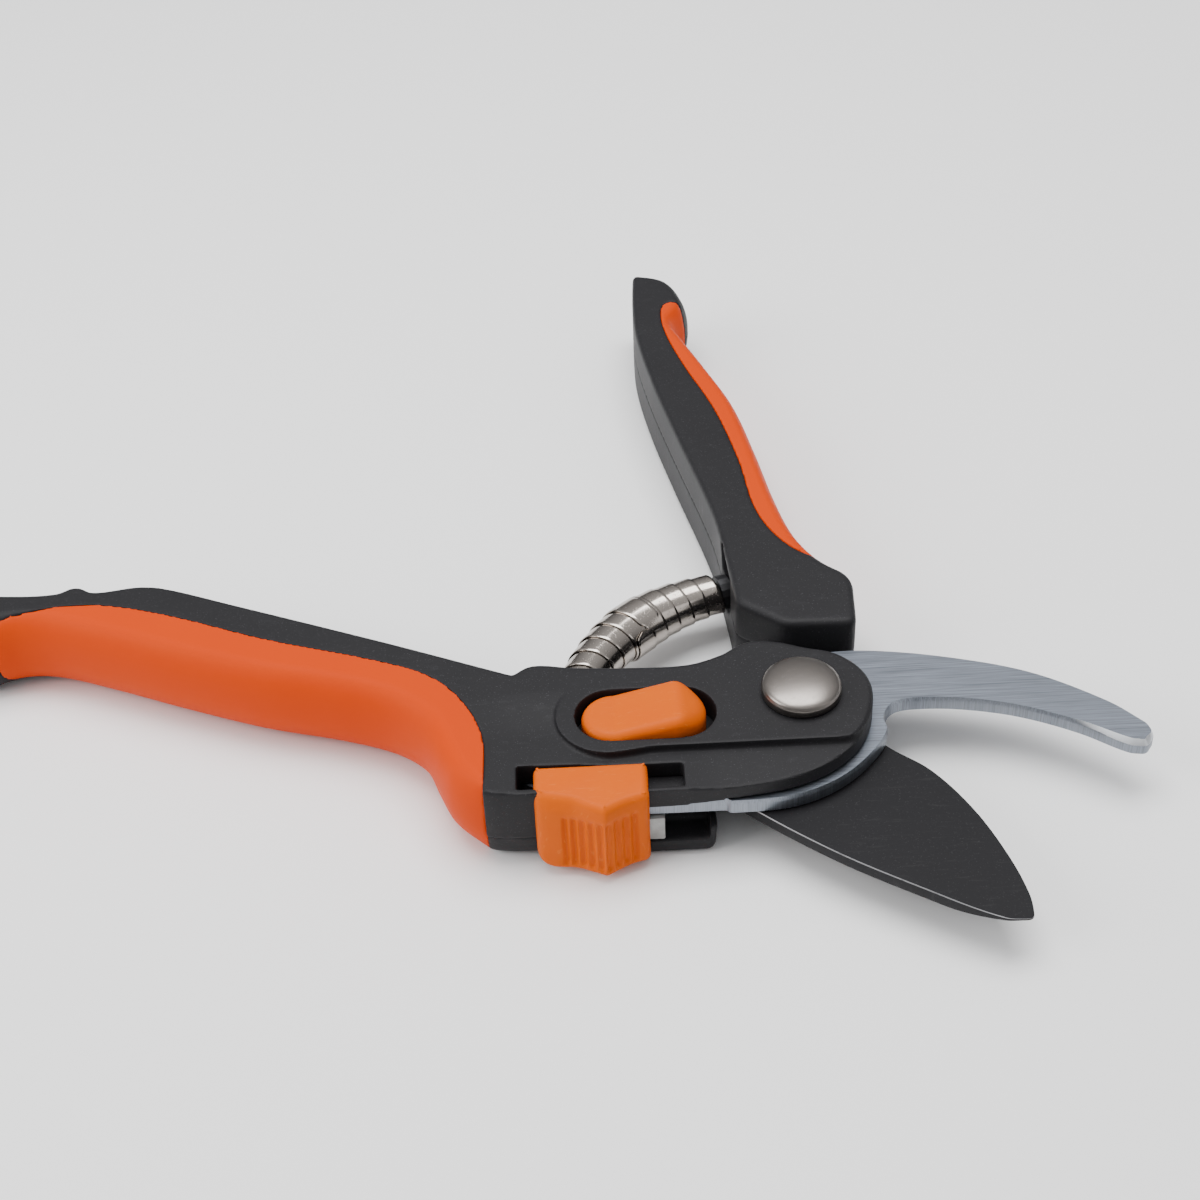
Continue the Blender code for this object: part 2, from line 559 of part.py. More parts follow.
def build():
    for thing in list(bpy.data.objects):
        bpy.data.objects.remove(thing, do_unlink=True)
    paints = {
        "shell": coloured("black_nylon", (0.035, 0.035, 0.037), 0.55),
        "grip": coloured("orange_rubber", (1.0, 0.13, 0.0), 0.5),
        "button": coloured("orange_plastic", (1.0, 0.22, 0.0), 0.4),
        "hook": coloured("brushed_steel", (0.46, 0.5, 0.56), 0.35, 1.0),
        "blade": coloured("black_coating", (0.03, 0.03, 0.032), 0.45, 0.3),
        "nickel": coloured("bright_nickel", (0.75, 0.72, 0.68), 0.15, 1.0),
        "steel": coloured("plain_steel", (0.6, 0.6, 0.62), 0.35, 1.0),
        "cast": coloured("sintered_steel", (0.42, 0.42, 0.42), 0.6, 0.8),
        "brass": coloured("bronze", (0.6, 0.42, 0.2), 0.4, 1.0)}
    fixed = carrier("fixed_side", (0, 0, 0))
    moving = carrier("hinge_axis", (0, 0, 0))
    lock_slide = carrier("lock_slide_line", (-38.0, -20.0, 9.0))
    selector_slide = carrier("selector_slide_line", (*SELECTOR_PIN, 16.0))
    lower_handle(paints, fixed)
    upper_handle(paints, moving)
    blades(paints, fixed, moving)
    hinge(paints, fixed, moving)
    volute_spring(paints["nickel"], fixed)
    spring_seat("lower_spring_seat", 0.0, 1, paints["steel"], fixed)
    spring_seat("upper_spring_seat", 1.0, -1, paints["steel"], moving)
    lock(paints, lock_slide, fixed)
    selector(paints, selector_slide, fixed)


build()
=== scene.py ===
# Bypass pruner: finished pieces and finishes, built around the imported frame.
# Shapes are drawn in millimetres and scaled to metres as each piece is finished.
import math

import bmesh
import bpy
from mathutils import Matrix, Vector


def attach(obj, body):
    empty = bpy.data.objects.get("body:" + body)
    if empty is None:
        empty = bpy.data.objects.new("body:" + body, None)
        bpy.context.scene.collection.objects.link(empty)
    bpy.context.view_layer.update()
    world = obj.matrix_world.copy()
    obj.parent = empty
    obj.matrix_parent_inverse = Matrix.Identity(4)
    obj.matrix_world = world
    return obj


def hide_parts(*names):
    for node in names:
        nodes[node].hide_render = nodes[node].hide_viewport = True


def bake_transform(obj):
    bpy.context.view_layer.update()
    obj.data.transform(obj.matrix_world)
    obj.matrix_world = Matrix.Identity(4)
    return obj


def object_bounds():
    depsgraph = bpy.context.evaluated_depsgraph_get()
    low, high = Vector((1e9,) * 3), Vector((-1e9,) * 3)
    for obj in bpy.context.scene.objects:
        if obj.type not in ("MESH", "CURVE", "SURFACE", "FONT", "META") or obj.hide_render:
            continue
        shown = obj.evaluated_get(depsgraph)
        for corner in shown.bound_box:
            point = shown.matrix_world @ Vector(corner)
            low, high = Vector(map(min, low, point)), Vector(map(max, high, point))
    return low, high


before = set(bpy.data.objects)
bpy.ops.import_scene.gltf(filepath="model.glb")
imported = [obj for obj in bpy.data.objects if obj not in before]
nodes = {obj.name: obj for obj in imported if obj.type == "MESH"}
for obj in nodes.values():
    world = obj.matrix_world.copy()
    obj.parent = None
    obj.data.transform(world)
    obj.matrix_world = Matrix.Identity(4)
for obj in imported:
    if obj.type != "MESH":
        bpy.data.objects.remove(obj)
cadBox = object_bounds()
fixedSide, movingSide, lockBody, selectorBody = "hook_side", "blade_side", "lock", "selector"
print("frame loaded:", len(nodes), "nodes")

# shared heights, in millimetres above the hinge nut's flat face
heights = {
    "top": 18.0, "split": 6.5, "bladeLow": 6.8, "bladeHigh": 9.3, "hookLow": 9.6,
    "hookHigh": 12.6, "headFloor": 12.9, "spring": 9.0, "shank": 3.5, "bush": 5.0}
through = (-1, 20)  # a cutter's foot and head, clear of the whole tool
seamGap = {"hard": -0.04, "soft": -0.2}  # how far the shell and the grip stay off the seam


def counterclockwise(points):
    area = sum(a.cross(b) for a, b in zip(points, points[1:] + points[:1]))
    return points if area > 0 else points[::-1]


def loopThrough(points, pieces=8, ease=5):
    # closed outline through the points; a third number eases that corner by so much
    count = len(points)
    place = [Vector((p[0], p[1])) for p in points]
    corner = [len(p) > 2 for p in points]
    dense, marks = [], {}
    for i in range(count):
        a, b = place[i], place[(i + 1) % count]
        length = (b - a).length
        leave = (b - a) if corner[i] else (b - place[i - 1])
        arrive = (b - a) if corner[(i + 1) % count] else (place[(i + 2) % count] - a)
        leave = leave.normalized() * length
        arrive = arrive.normalized() * length
        if corner[i]:
            marks[len(dense)] = points[i][2]
        straight = corner[i] and corner[(i + 1) % count]
        for k in range(pieces):
            t = k / pieces
            if straight:
                dense.append(a.lerp(b, t))
                continue
            dense.append(a * (2 * t ** 3 - 3 * t ** 2 + 1) + leave * (t ** 3 - 2 * t ** 2 + t)
                         + b * (3 * t ** 2 - 2 * t ** 3) + arrive * (t ** 3 - t ** 2))
    result = []
    for i, point in enumerate(dense):
        cut = marks.get(i, 0.0)
        if any(marks[j] > (point - dense[j]).length and j != i for j in marks):
            continue
        if cut == 0.0:
            result.append(point)
            continue
        first = point + (dense[i - 1] - point).normalized() * cut
        last = point + (dense[(i + 1) % len(dense)] - point).normalized() * cut
        for k in range(ease + 1):
            t = k / ease
            result.append(first * (1 - t) ** 2 + point * 2 * t * (1 - t) + last * t ** 2)
    return counterclockwise(result)


def evenly(loop, spacing):
    # the same outline with points at an even spacing
    result = []
    total = sum((b - a).length for a, b in zip(loop, loop[1:] + loop[:1]))
    step = total / max(8, round(total / spacing))
    left = 0.0
    for a, b in zip(loop, loop[1:] + loop[:1]):
        length = (b - a).length
        while left < length - 1e-6:
            result.append(a.lerp(b, left / length))
            left += step
        left -= length
    return result


def inset(loop, amounts):
    # moves a counterclockwise outline inwards by an amount for each point
    moved = []
    count = len(loop)
    for i, here in enumerate(loop):
        before = (here - loop[i - 1]).normalized()
        after = (loop[(i + 1) % count] - here).normalized()
        inward = Vector((-before.y - after.y, before.x + after.x)).normalized()
        lean = max(0.5, inward.dot(Vector((-after.y, after.x))))
        amount = amounts[i] if isinstance(amounts, list) else amounts
        moved.append(here + inward * (amount / lean))
    return moved


def averaged(values, reach):
    count = len(values)
    span = range(-reach, reach + 1)
    return [sum(values[(i + k) % count] for k in span) / len(span) for i in range(count)]


def roomInside(loop, reach=4):
    # how far each point can move inwards before its neighbours would cross
    count = len(loop)
    radii = []
    for i, here in enumerate(loop):
        before, after = here - loop[i - 1], loop[(i + 1) % count] - here
        turn = before.normalized().cross(after.normalized())
        radii.append(min(40.0, (before.length + after.length) / 2 / max(turn, 1e-4)))
    span = range(-reach, reach + 1)
    least = [min(radii[(i + k) % count] for k in span) for i in range(count)]
    return [0.8 * v for v in averaged(least, 2)]


def stadium(centres, radius, steps=20):
    (x0, y0), (x1, _) = centres
    turns = [math.pi * (k / steps - 0.5) for k in range(steps + 1)]
    right = [Vector((x1 + radius * math.cos(a), y0 + radius * math.sin(a))) for a in turns]
    left = [Vector((x0 - radius * math.cos(a), y0 - radius * math.sin(a))) for a in turns]
    return right + left


def rectangle(corners):
    (x0, y0), (x1, y1) = corners
    return [Vector((x0, y0)), Vector((x1, y0)), Vector((x1, y1)), Vector((x0, y1))]


def smoothStep(value, low, high):
    t = min(1.0, max(0.0, (value - low) / (high - low)))
    return t * t * (3 - 2 * t)


def newThing(name, body):
    mesh = bpy.data.meshes.new(name)
    body.to_mesh(mesh)
    body.free()
    thing = bpy.data.objects.new(name, mesh)
    bpy.context.scene.collection.objects.link(thing)
    return thing


def loft(name, *skins):
    # each skin runs over rings of equal length and is closed at both ends
    body = bmesh.new()
    for rings in skins:
        rows = [[body.verts.new(p) for p in ring] for ring in rings]
        count = len(rows[0])
        for low, high in zip(rows, rows[1:]):
            for i in range(count):
                j = (i + 1) % count
                body.faces.new((low[i], low[j], high[j], high[i]))
        body.faces.new(rows[0][::-1])
        body.faces.new(rows[-1])
    bmesh.ops.recalc_face_normals(body, faces=body.faces)
    return newThing(name, body)


def prism(name, outline, low, high):
    points = counterclockwise(list(outline))
    return loft(name, [[(p.x, p.y, z) for p in points] for z in (low, high)])


def turned(name, profile, centre=(0, 0, 0), axis=(0, 0, 1), sides=48):
    # body turned about an axis; the profile is (radius, height) pairs
    hub, along = Vector(centre), Vector(axis).normalized()
    side = along.orthogonal().normalized()
    other = along.cross(side)
    body = bmesh.new()
    rows = []
    for radius, height in profile:
        if radius == 0.0:
            rows.append([body.verts.new(hub + along * height)])
            continue
        rows.append([body.verts.new(hub + along * height + (side * math.cos(a)
                                    + other * math.sin(a)) * radius)
                     for a in (2 * math.pi * k / sides for k in range(sides))])
    closed = rows if len(rows[0]) == 1 else rows + rows[:1]
    for low, high in zip(closed, closed[1:]):
        for k in range(sides):
            j = (k + 1) % sides
            if len(low) == 1:
                body.faces.new((low[0], high[j], high[k]))
            elif len(high) == 1:
                body.faces.new((low[k], low[j], high[0]))
            else:
                body.faces.new((low[k], low[j], high[j], high[k]))
    bmesh.ops.recalc_face_normals(body, faces=body.faces)
    return newThing(name, body)


def drum(name, place, radius, low, high, sides=40):
    profile = [(0.0, low), (radius, low), (radius, high), (0.0, high)]
    return turned(name, profile, (place[0], place[1], 0.0), sides=sides)


def cut(thing, tool, operation="DIFFERENCE"):
    step = thing.modifiers.new(tool.name, "BOOLEAN")
    step.operation, step.object, step.solver = operation, tool, "EXACT"
    return thing


def settle(thing):
    # turns the modifiers into plain mesh and clears away the cutting tools
    tools = [m.object for m in thing.modifiers if m.type == "BOOLEAN"]
    state = thing.evaluated_get(bpy.context.evaluated_depsgraph_get())
    mesh = bpy.data.meshes.new_from_object(state)
    thing.modifiers.clear()
    thing.data = mesh
    for tool in tools:
        bpy.data.objects.remove(tool, do_unlink=True)
    return thing


def mould(thing, cell, relax=4):
    # rebuilds a cut body as one even skin, whose edges come out slightly rounded
    settle(thing)
    skin = thing.modifiers.new("skin", "REMESH")
    skin.mode, skin.voxel_size = "VOXEL", cell
    ease = thing.modifiers.new("ease", "SMOOTH")
    ease.factor, ease.iterations = 0.5, relax
    return settle(thing)


def bevelled(thing, width, angle=40.0, segments=2):
    settle(thing)
    edge = thing.modifiers.new("edge", "BEVEL")
    edge.width, edge.segments = width, segments
    edge.limit_method, edge.angle_limit = "ANGLE", math.radians(angle)
    return settle(thing)


def complete(thing, body, paint, stands, angle=38.0):
    # scales to metres, gives the finish and hands the piece to its body
    settle(thing)
    thing.data.transform(Matrix.Scale(0.001, 4))
    thing.data.materials.clear()
    thing.data.materials.append(paint)
    thing.data.shade_smooth()
    thing.data.set_sharp_from_angle(angle=math.radians(angle))
    if body:
        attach(thing, body)
    if stands:
        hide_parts(*stands)
    print("piece", thing.name, len(thing.data.polygons), "faces")
    return thing


class Value:
    # wraps a shader socket so that sums on it add Math nodes
    def __init__(self, paint, socket):
        self.paint, self.socket = paint, socket

    def math(self, operation, first, second):
        return self.paint.add("ShaderNodeMath", {"operation": operation}, {0: first, 1: second})

    def __add__(self, other):
        return self.math("ADD", self, other)

    def __radd__(self, other):
        return self.math("ADD", other, self)

    def __sub__(self, other):
        return self.math("SUBTRACT", self, other)

    def __rsub__(self, other):
        return self.math("SUBTRACT", other, self)

    def __mul__(self, other):
        return self.math("MULTIPLY", self, other)

    def __rmul__(self, other):
        return self.math("MULTIPLY", other, self)

    def __abs__(self):
        return self.math("ABSOLUTE", self, 0.0)


class Paint:
    # the nodes of one material or world
    def __init__(self, owner):
        owner.use_nodes = True
        self.owner, self.tree = owner, owner.node_tree
        self.tree.nodes.clear()

    def add(self, kind, settings=None, inputs=None, take=0):
        made = self.tree.nodes.new(kind)
        for key, setting in (settings or {}).items():
            if key == "stops":
                ramp = made.color_ramp.elements
                for k, (place, colour) in enumerate(setting):
                    stop = ramp[k] if k < 2 else ramp.new(place)
                    stop.position, stop.color = place, (*colour, 1.0)
            else:
                setattr(made, key, setting)
        for key, value in (inputs or {}).items():
            if isinstance(value, Value):
                self.tree.links.new(value.socket, made.inputs[key])
            else:
                made.inputs[key].default_value = value
        return Value(self, made.outputs[take]) if made.outputs else None

    def place(self, stretch=(1, 1, 1), turn=0.0):
        where = self.add("ShaderNodeTexCoord", take="Object")
        return self.add("ShaderNodeMapping", None, {
            "Vector": where, "Scale": stretch, "Rotation": (0.0, 0.0, turn)})

    def noise(self, where, scale, detail=2.0, rough=0.5):
        return self.add("ShaderNodeTexNoise", None, {
            "Vector": where, "Scale": scale, "Detail": detail, "Roughness": rough})

    def between(self, value, low, high):
        # 0 below low, 1 above high, smooth between
        return self.add("ShaderNodeMapRange", {"interpolation_type": "SMOOTHSTEP"}, {
            "Value": value, "From Min": low, "From Max": high})

    def mix(self, share, first, second):
        first = first if isinstance(first, Value) else (*first, 1.0)
        second = second if isinstance(second, Value) else (*second, 1.0)
        return self.add("ShaderNodeMix", {"data_type": "RGBA"}, {0: share, 6: first, 7: second},
                        take=2)

    def facing(self):
        # how far the surface faces up or down, 0 to 1
        normal = self.add("ShaderNodeTexCoord", take="Normal")
        return abs(self.add("ShaderNodeSeparateXYZ", None, {"Vector": normal}, take="Z"))

    def bump(self, height, strength, distance):
        return self.add("ShaderNodeBump", None, {
            "Height": height, "Strength": strength, "Distance": distance})

    def finish(self, inputs):
        shader = self.add("ShaderNodeBsdfPrincipled", None, inputs)
        self.add("ShaderNodeOutputMaterial", None, {"Surface": shader})
        return self.owner


def newPaint(name):
    return Paint(bpy.data.materials.new(name))


def shade(tone, share):
    return tuple(share * c for c in tone)


def blackNylon(name, tone=(0.0125, 0.0122, 0.0135), gloss=0.46):
    # glass-filled nylon from a spark-eroded mould
    paint = newPaint(name)
    where = paint.place()
    cloud = paint.noise(where, 70.0, 4.0, 0.6)
    grain = paint.noise(where, 2300.0, 3.0, 0.6)
    speck = paint.between(paint.noise(where, 4200.0, 1.0), 0.66, 0.76)
    rub = paint.between(paint.noise(paint.place((1, 3, 1), 0.5), 240.0, 3.0, 0.7), 0.55, 0.8)
    pale = shade(tone, 5.0)
    colour = paint.mix(cloud * 0.5, tone, shade(tone, 1.7))
    colour = paint.mix(speck * 0.6, colour, pale)
    colour = paint.mix(rub * 0.10, colour, pale)
    rough = gloss + cloud * 0.10 - rub * 0.06
    height = grain + speck * 0.5
    return paint.finish({
        "Base Color": colour, "Roughness": rough, "Specular IOR Level": 0.16,
        "Normal": paint.bump(height, 0.35, 0.00006)})


def gripRubber(name, tone=(0.58, 0.050, 0.0), deep=(0.48, 0.026, 0.0)):
    # soft over-moulded rubber, satin with a faint mottle
    paint = newPaint(name)
    where = paint.place()
    cloud = paint.noise(where, 45.0, 3.0, 0.5)
    grain = paint.noise(where, 1700.0, 2.0, 0.5)
    grime = paint.between(paint.noise(where, 900.0, 4.0, 0.7), 0.60, 0.78)
    colour = paint.mix(cloud * 0.35, tone, deep)
    colour = paint.mix(grime * 0.10, colour, (0.45, 0.05, 0.01))
    return paint.finish({
        "Base Color": colour, "Roughness": 0.44 + cloud * 0.12, "Specular IOR Level": 0.06,
        "Normal": paint.bump(grain, 0.18, 0.00004)})


def glossPlastic(name, tone=(0.62, 0.105, 0.0), deep=(0.56, 0.060, 0.0)):
    # hard orange plastic of the lock slider and the button
    paint = newPaint(name)
    where = paint.place()
    cloud = paint.noise(where, 160.0, 3.0, 0.5)
    grain = paint.noise(where, 3000.0, 2.0, 0.5)
    scuff = paint.between(paint.noise(paint.place((1, 8, 1), 0.3), 500.0, 2.0), 0.62, 0.72)
    colour = paint.mix(cloud * 0.35, tone, deep)
    colour = paint.mix(scuff * 0.10, colour, (1.0, 0.42, 0.12))
    return paint.finish({
        "Base Color": colour, "Roughness": 0.36 + cloud * 0.10 + scuff * 0.12,
        "Specular IOR Level": 0.08,
        "Normal": paint.bump(grain, 0.12, 0.00003)})


def brushedSteel(name, tone=(0.20, 0.22, 0.255)):
    # belt-ground plate; the cut edges show lines across the thickness, and the chamfers carry a
    # painted highlight
    paint = newPaint(name)
    lines = paint.noise(paint.place((7, 420, 60), -0.04), 8.0, 4.0, 0.65)
    fine = paint.noise(paint.place((20, 1500, 60), 0.0), 6.0, 2.0, 0.6)
    across = paint.noise(paint.place((1400, 1400, 30)), 3.0, 2.0, 0.6)
    cloud = paint.noise(paint.place(), 60.0, 4.0, 0.6)
    facing = paint.facing()
    flat = paint.between(facing, 0.5, 0.8)
    # rim: the slanting chamfer faces, chosen by their slope, where a painted highlight line goes
    rim = paint.between(facing, 0.35, 0.5) * (1 - paint.between(facing, 0.82, 0.95))
    along = paint.between(lines * 0.6 + fine * 0.4, 0.30, 0.70)
    pattern = flat * along + (1 - flat) * paint.between(across, 0.25, 0.75)
    colour = paint.mix(pattern, shade(tone, 0.60), shade(tone, 1.35))
    colour = paint.mix(cloud * 0.3, colour, (0.15, 0.165, 0.195))
    sheared = paint.between(cloud, 0.3, 0.6) * (1 - flat)
    colour = paint.mix(sheared * 0.3, colour, (0.34, 0.36, 0.39))
    # painted highlight: the chamfers get a near-white colour that stands in for a lit edge
    colour = paint.mix(rim * 0.8, colour, (0.85, 0.87, 0.90))
    return paint.finish({
        "Base Color": colour, "Metallic": 1.0, "Roughness": 0.34 + pattern * 0.16,
        "Normal": paint.bump(pattern, 0.22, 0.00003)})


def coatedSteel(name, tone=(0.0085, 0.0083, 0.0095)):
    # low-friction black coating, rubbed through along the slanting edges, which also carry a painted
    # highlight
    paint = newPaint(name)
    where = paint.place()
    facing = paint.facing()
    slant = paint.between(facing, 0.30, 0.55) * (1 - paint.between(facing, 0.86, 0.97))
    cloud = paint.noise(where, 80.0, 4.0, 0.6)
    fleck = paint.between(paint.noise(where, 3600.0, 2.0), 0.62, 0.74)
    drag = paint.between(paint.noise(paint.place((60, 700, 60), 0.9), 3.0, 3.0, 0.6), 0.58, 0.72)
    # slanting faces: coating rubbed through to bare metal, and a pale painted highlight line along
    # the edges
    rubbedAndHighlit = slant * paint.between(paint.noise(where, 500.0, 3.0), 0.12, 0.40)
    colour = paint.mix(cloud * 0.6, tone, shade(tone, 1.9))
    colour = paint.mix(fleck * 0.5, colour, (0.04, 0.04, 0.042))
    colour = paint.mix(drag * 0.12, colour, (0.05, 0.05, 0.05))
    # the pale grey here is partly bare metal and partly a painted highlight
    colour = paint.mix(rubbedAndHighlit * 0.85, colour, (0.34, 0.34, 0.35))
    return paint.finish({
        "Base Color": colour, "Metallic": rubbedAndHighlit * 0.8,
        "Roughness": 0.44 + cloud * 0.12 - drag * 0.08, "Specular IOR Level": 0.14,
        "Normal": paint.bump(fleck + cloud, 0.3, 0.00004)})


def brightNickel(name, tone=(0.25, 0.228, 0.21), gloss=0.24, pit=0.3):
    # plated steel with fine pitting and a few rubbed patches
    paint = newPaint(name)
    where = paint.place()
    cloud = paint.noise(where, 260.0, 4.0, 0.65)
    pits = paint.between(paint.noise(where, 2600.0, 2.0, 0.6), 0.60, 0.72)
    colour = paint.mix(cloud * 0.5, tone, shade(tone, 0.72))
    colour = paint.mix(pits * pit, colour, (0.20, 0.19, 0.18))
    return paint.finish({
        "Base Color": colour, "Metallic": 1.0,
        "Roughness": gloss + cloud * 0.12 + pits * 0.15,
        "Normal": paint.bump(cloud - pits * 0.6, 0.25, 0.00005)})


def plainSteel(name, tone=(0.32, 0.32, 0.33), gloss=0.34, coarse=0.4):
    # machined or pressed steel with light tool marks
    paint = newPaint(name)
    where = paint.place()
    cloud = paint.noise(where, 420.0, 4.0, 0.6)
    marks = paint.noise(paint.place((1, 1, 9)), 1500.0, 2.0, 0.6)
    colour = paint.mix(cloud, shade(tone, 0.65), shade(tone, 1.3))
    return paint.finish({
        "Base Color": colour, "Metallic": 1.0, "Roughness": gloss + marks * 0.2,
        "Normal": paint.bump(marks + cloud, coarse, 0.00006)})


paints = {
    "nylon": blackNylon("black_nylon"),
    "rubber": gripRubber("grip_rubber"),
    "gloss": glossPlastic("orange_plastic"),
    "hook": brushedSteel("brushed_steel"),
    "blade": coatedSteel("coated_blade"),
    "nickel": brightNickel("bright_nickel"),
    "strip": brightNickel("spring_strip", (0.42, 0.38, 0.345), 0.10, 0.15),
    "steel": plainSteel("plain_steel"),
    "cast": plainSteel("sintered_steel", (0.38, 0.38, 0.37), 0.5, 0.9),
    "dark": plainSteel("dark_steel", (0.055, 0.055, 0.058), 0.42, 0.5),
    "bronze": plainSteel("bronze", (0.50, 0.32, 0.14), 0.36, 0.4)}
print("finishes ready:", len(paints))


# plan outlines in millimetres from the hinge; a third number eases that corner by so much
# softTop and softBase: how far the rounding beside the grip reaches in, above and below
# hardReach: the same elsewhere; trim and grow: outline moved in beside the grip, out elsewhere
upper = {
    "outline": [
        (-9.4, 25.2, 1.5), (-0.8, 18.4, 1.5), (12.4, 18.0, 2.0), (13.2, 31.4, 3.0), (8.6, 38.0),
        (4.6, 46.0), (1.7, 58.4), (-0.9, 75.2), (-3.9, 91.2), (-8.8, 105.6), (-13.4, 118.0),
        (-14.9, 122.8), (-12.6, 127.6), (-12.1, 132.6), (-15.6, 140.2), (-23.9, 142.2, 1.2),
        (-24.6, 130.0), (-24.4, 117.8), (-22.1, 101.1), (-18.3, 82.0), (-12.3, 54.0),
        (-10.7, 40.0)],
    "seam": [
        (16.0, 37.0), (7.5, 37.4), (1.4, 42.4), (-3.1, 52.6), (-5.2, 69.4), (-8.8, 87.5),
        (-14.6, 105.8), (-17.8, 119.5), (-17.6, 128.0), (-14.6, 129.6), (-12.0, 126.0),
        (-5.0, 123.6)],
    "outside": [(20.0, 122.0, 0.0), (20.0, 38.0, 0.0)],
    "screws": [(-0.4, 33.5), (-8.2, 58.6), (-17.4, 98.0)],
    "softTop": 3.4, "softBase": 5.0, "hardReach": 1.2, "grow": -0.15, "trim": -0.25,
    "tip": (130.0, 0.1), "bend": 0.0, "trimTo": 20.0, "growTo": -9.8, "bulb": (-18.0, 119.0)}

# bend and front: local changes to the outline behind the head and along its front wall
lower = {
    "outline": [
        (12.9, 0.0), (11.6, 5.7), (7.4, 10.2), (1.8, 12.2), (-3.0, 14.0), (-8.6, 14.3),
        (-14.0, 11.0), (-20.0, 9.0), (-29.0, 8.9), (-38.6, 9.5), (-47.6, 10.2),
        (-51.6, 7.6, 0.6), (-58.0, 10.5), (-75.7, 18.5), (-105.6, 31.4), (-119.0, 37.0),
        (-124.0, 37.8), (-132.6, 36.8), (-136.2, 38.9, 1.6), (-139.8, 36.9), (-150.0, 37.0),
        (-157.6, 38.4, 1.2), (-160.0, 33.5), (-157.6, 28.2), (-153.0, 27.0), (-146.5, 28.4),
        (-140.8, 27.6), (-131.0, 23.8), (-114.9, 16.8), (-99.5, 10.7), (-84.7, 6.3),
        (-75.2, 2.2), (-70.0, -3.2), (-66.6, -11.0), (-62.6, -17.0), (-56.0, -20.4),
        (-48.0, -20.7), (-14.0, -20.3), (-5.0, -19.2), (1.4, -16.9), (7.0, -13.0),
        (11.0, -7.6)],
    "seam": [
        (-151.6, 20.0), (-150.5, 29.9), (-143.0, 32.6), (-131.7, 33.3), (-117.9, 29.5),
        (-97.4, 20.9), (-79.2, 14.6), (-68.0, 9.6), (-61.6, 3.2), (-57.3, -6.4), (-56.8, -18.0),
        (-57.2, -30.0)],
    "outside": [(-70.0, -30.0, 0.0), (-120.0, -10.0, 0.0)],
    "screws": [(-50.4, -8.6), (-56.4, 4.4), (-112.0, 30.9)],
    "softTop": 4.6, "softBase": 7.0, "hardReach": 1.0, "grow": 0.75, "trim": 0.4, "head": -50.0,
    "tip": (1000.0, 0.0), "bend": 1.2, "trimTo": -70.0, "growTo": -46.0,
    "bendAt": (-68.0, 4.5), "front": (-50.0, -14.0, 0.3),
    "baseHead": [
        (0.0, -12.6), (9.0, -9.0), (12.6, 0.0), (9.0, 9.0), (0.0, 12.6), (-8.6, 13.2),
        (-14.0, 10.6), (-20.0, 8.8), (-29.0, 8.7), (-38.6, 9.3), (-47.6, 10.0),
        (-51.6, 7.4, 0.6)],
    "baseFront": [(-48.0, -20.9), (-16.6, -20.9, 1.6), (-16.6, -8.5, 2.0), (-9.5, -8.9)]}

hookOutline = [
    (61.9, -9.2, 0.8), (60.1, -11.7, 0.8), (57.0, -11.0), (49.3, -5.6), (39.5, -0.8),
    (29.5, 1.8), (21.0, 2.4), (16.9, 1.4), (15.0, -1.8), (15.2, -4.9), (13.0, -9.0),
    (7.6, -14.8), (1.5, -18.6), (-5.0, -20.5), (-14.2, -20.9, 0.3), (-14.9, -20.2, 0.3),
    (-43.6, -20.2, 1.0), (-46.6, -17.0), (-54.2, -10.5), (-57.2, -3.0), (-60.0, 3.2),
    (-65.0, 8.6), (-72.0, 12.8), (-92.0, 20.6, 1.2), (-90.6, 23.6, 1.2), (-74.0, 16.6),
    (-60.0, 9.2), (-50.0, 5.6), (-40.0, 7.2), (-20.0, 7.2), (-12.0, 10.2), (-3.5, 13.6),
    (5.0, 15.8), (14.4, 15.9), (28.0, 13.3), (42.7, 8.2), (55.4, -0.3), (61.3, -6.6, 0.8)]
bladeOutline = [
    (33.6, -47.2, 1.2), (33.7, -42.0), (31.8, -33.2), (27.8, -22.3), (21.9, -12.5),
    (14.5, -5.5), (11.2, 1.0), (10.4, 14.0), (8.0, 26.0), (4.2, 35.0), (-1.0, 43.0),
    (-4.8, 54.0), (-6.0, 64.0, 1.5), (-11.6, 62.6, 1.5), (-9.0, 50.0), (-6.6, 40.0),
    (-5.2, 24.0), (-8.0, 13.4), (-14.0, 8.0), (-23.8, 4.0, 0.8), (-28.6, -0.8, 1.0),
    (-23.9, -5.5), (-12.1, -18.0), (2.6, -30.3), (16.3, -39.4), (28.6, -46.6)]


frontLine = -17.0  # the lower handle's front wall lies beyond this y


def softShares(loop, handle):
    # 1 beside the grip, where the handle is well rounded, and 0 elsewhere
    run = [Vector((p[0], p[1])) for p in handle["seam"][1:-1]]
    bulb = handle.get("bulb")
    shares = []
    for point in loop:
        gaps = [(point - p).length for p in run]
        near = gaps.index(min(gaps))
        along = run[min(near + 1, len(run) - 1)] - run[max(near - 1, 0)]
        outer = along.cross(point - run[near]) < 0.0
        inHead = point.x > handle.get("head", 1000.0)
        atBulb = bulb and point.x > bulb[0] and point.y > bulb[1]
        shares.append(1.0 if (outer and not inHead) or atBulb else 0.0)
    return averaged(averaged(shares, 4), 4)


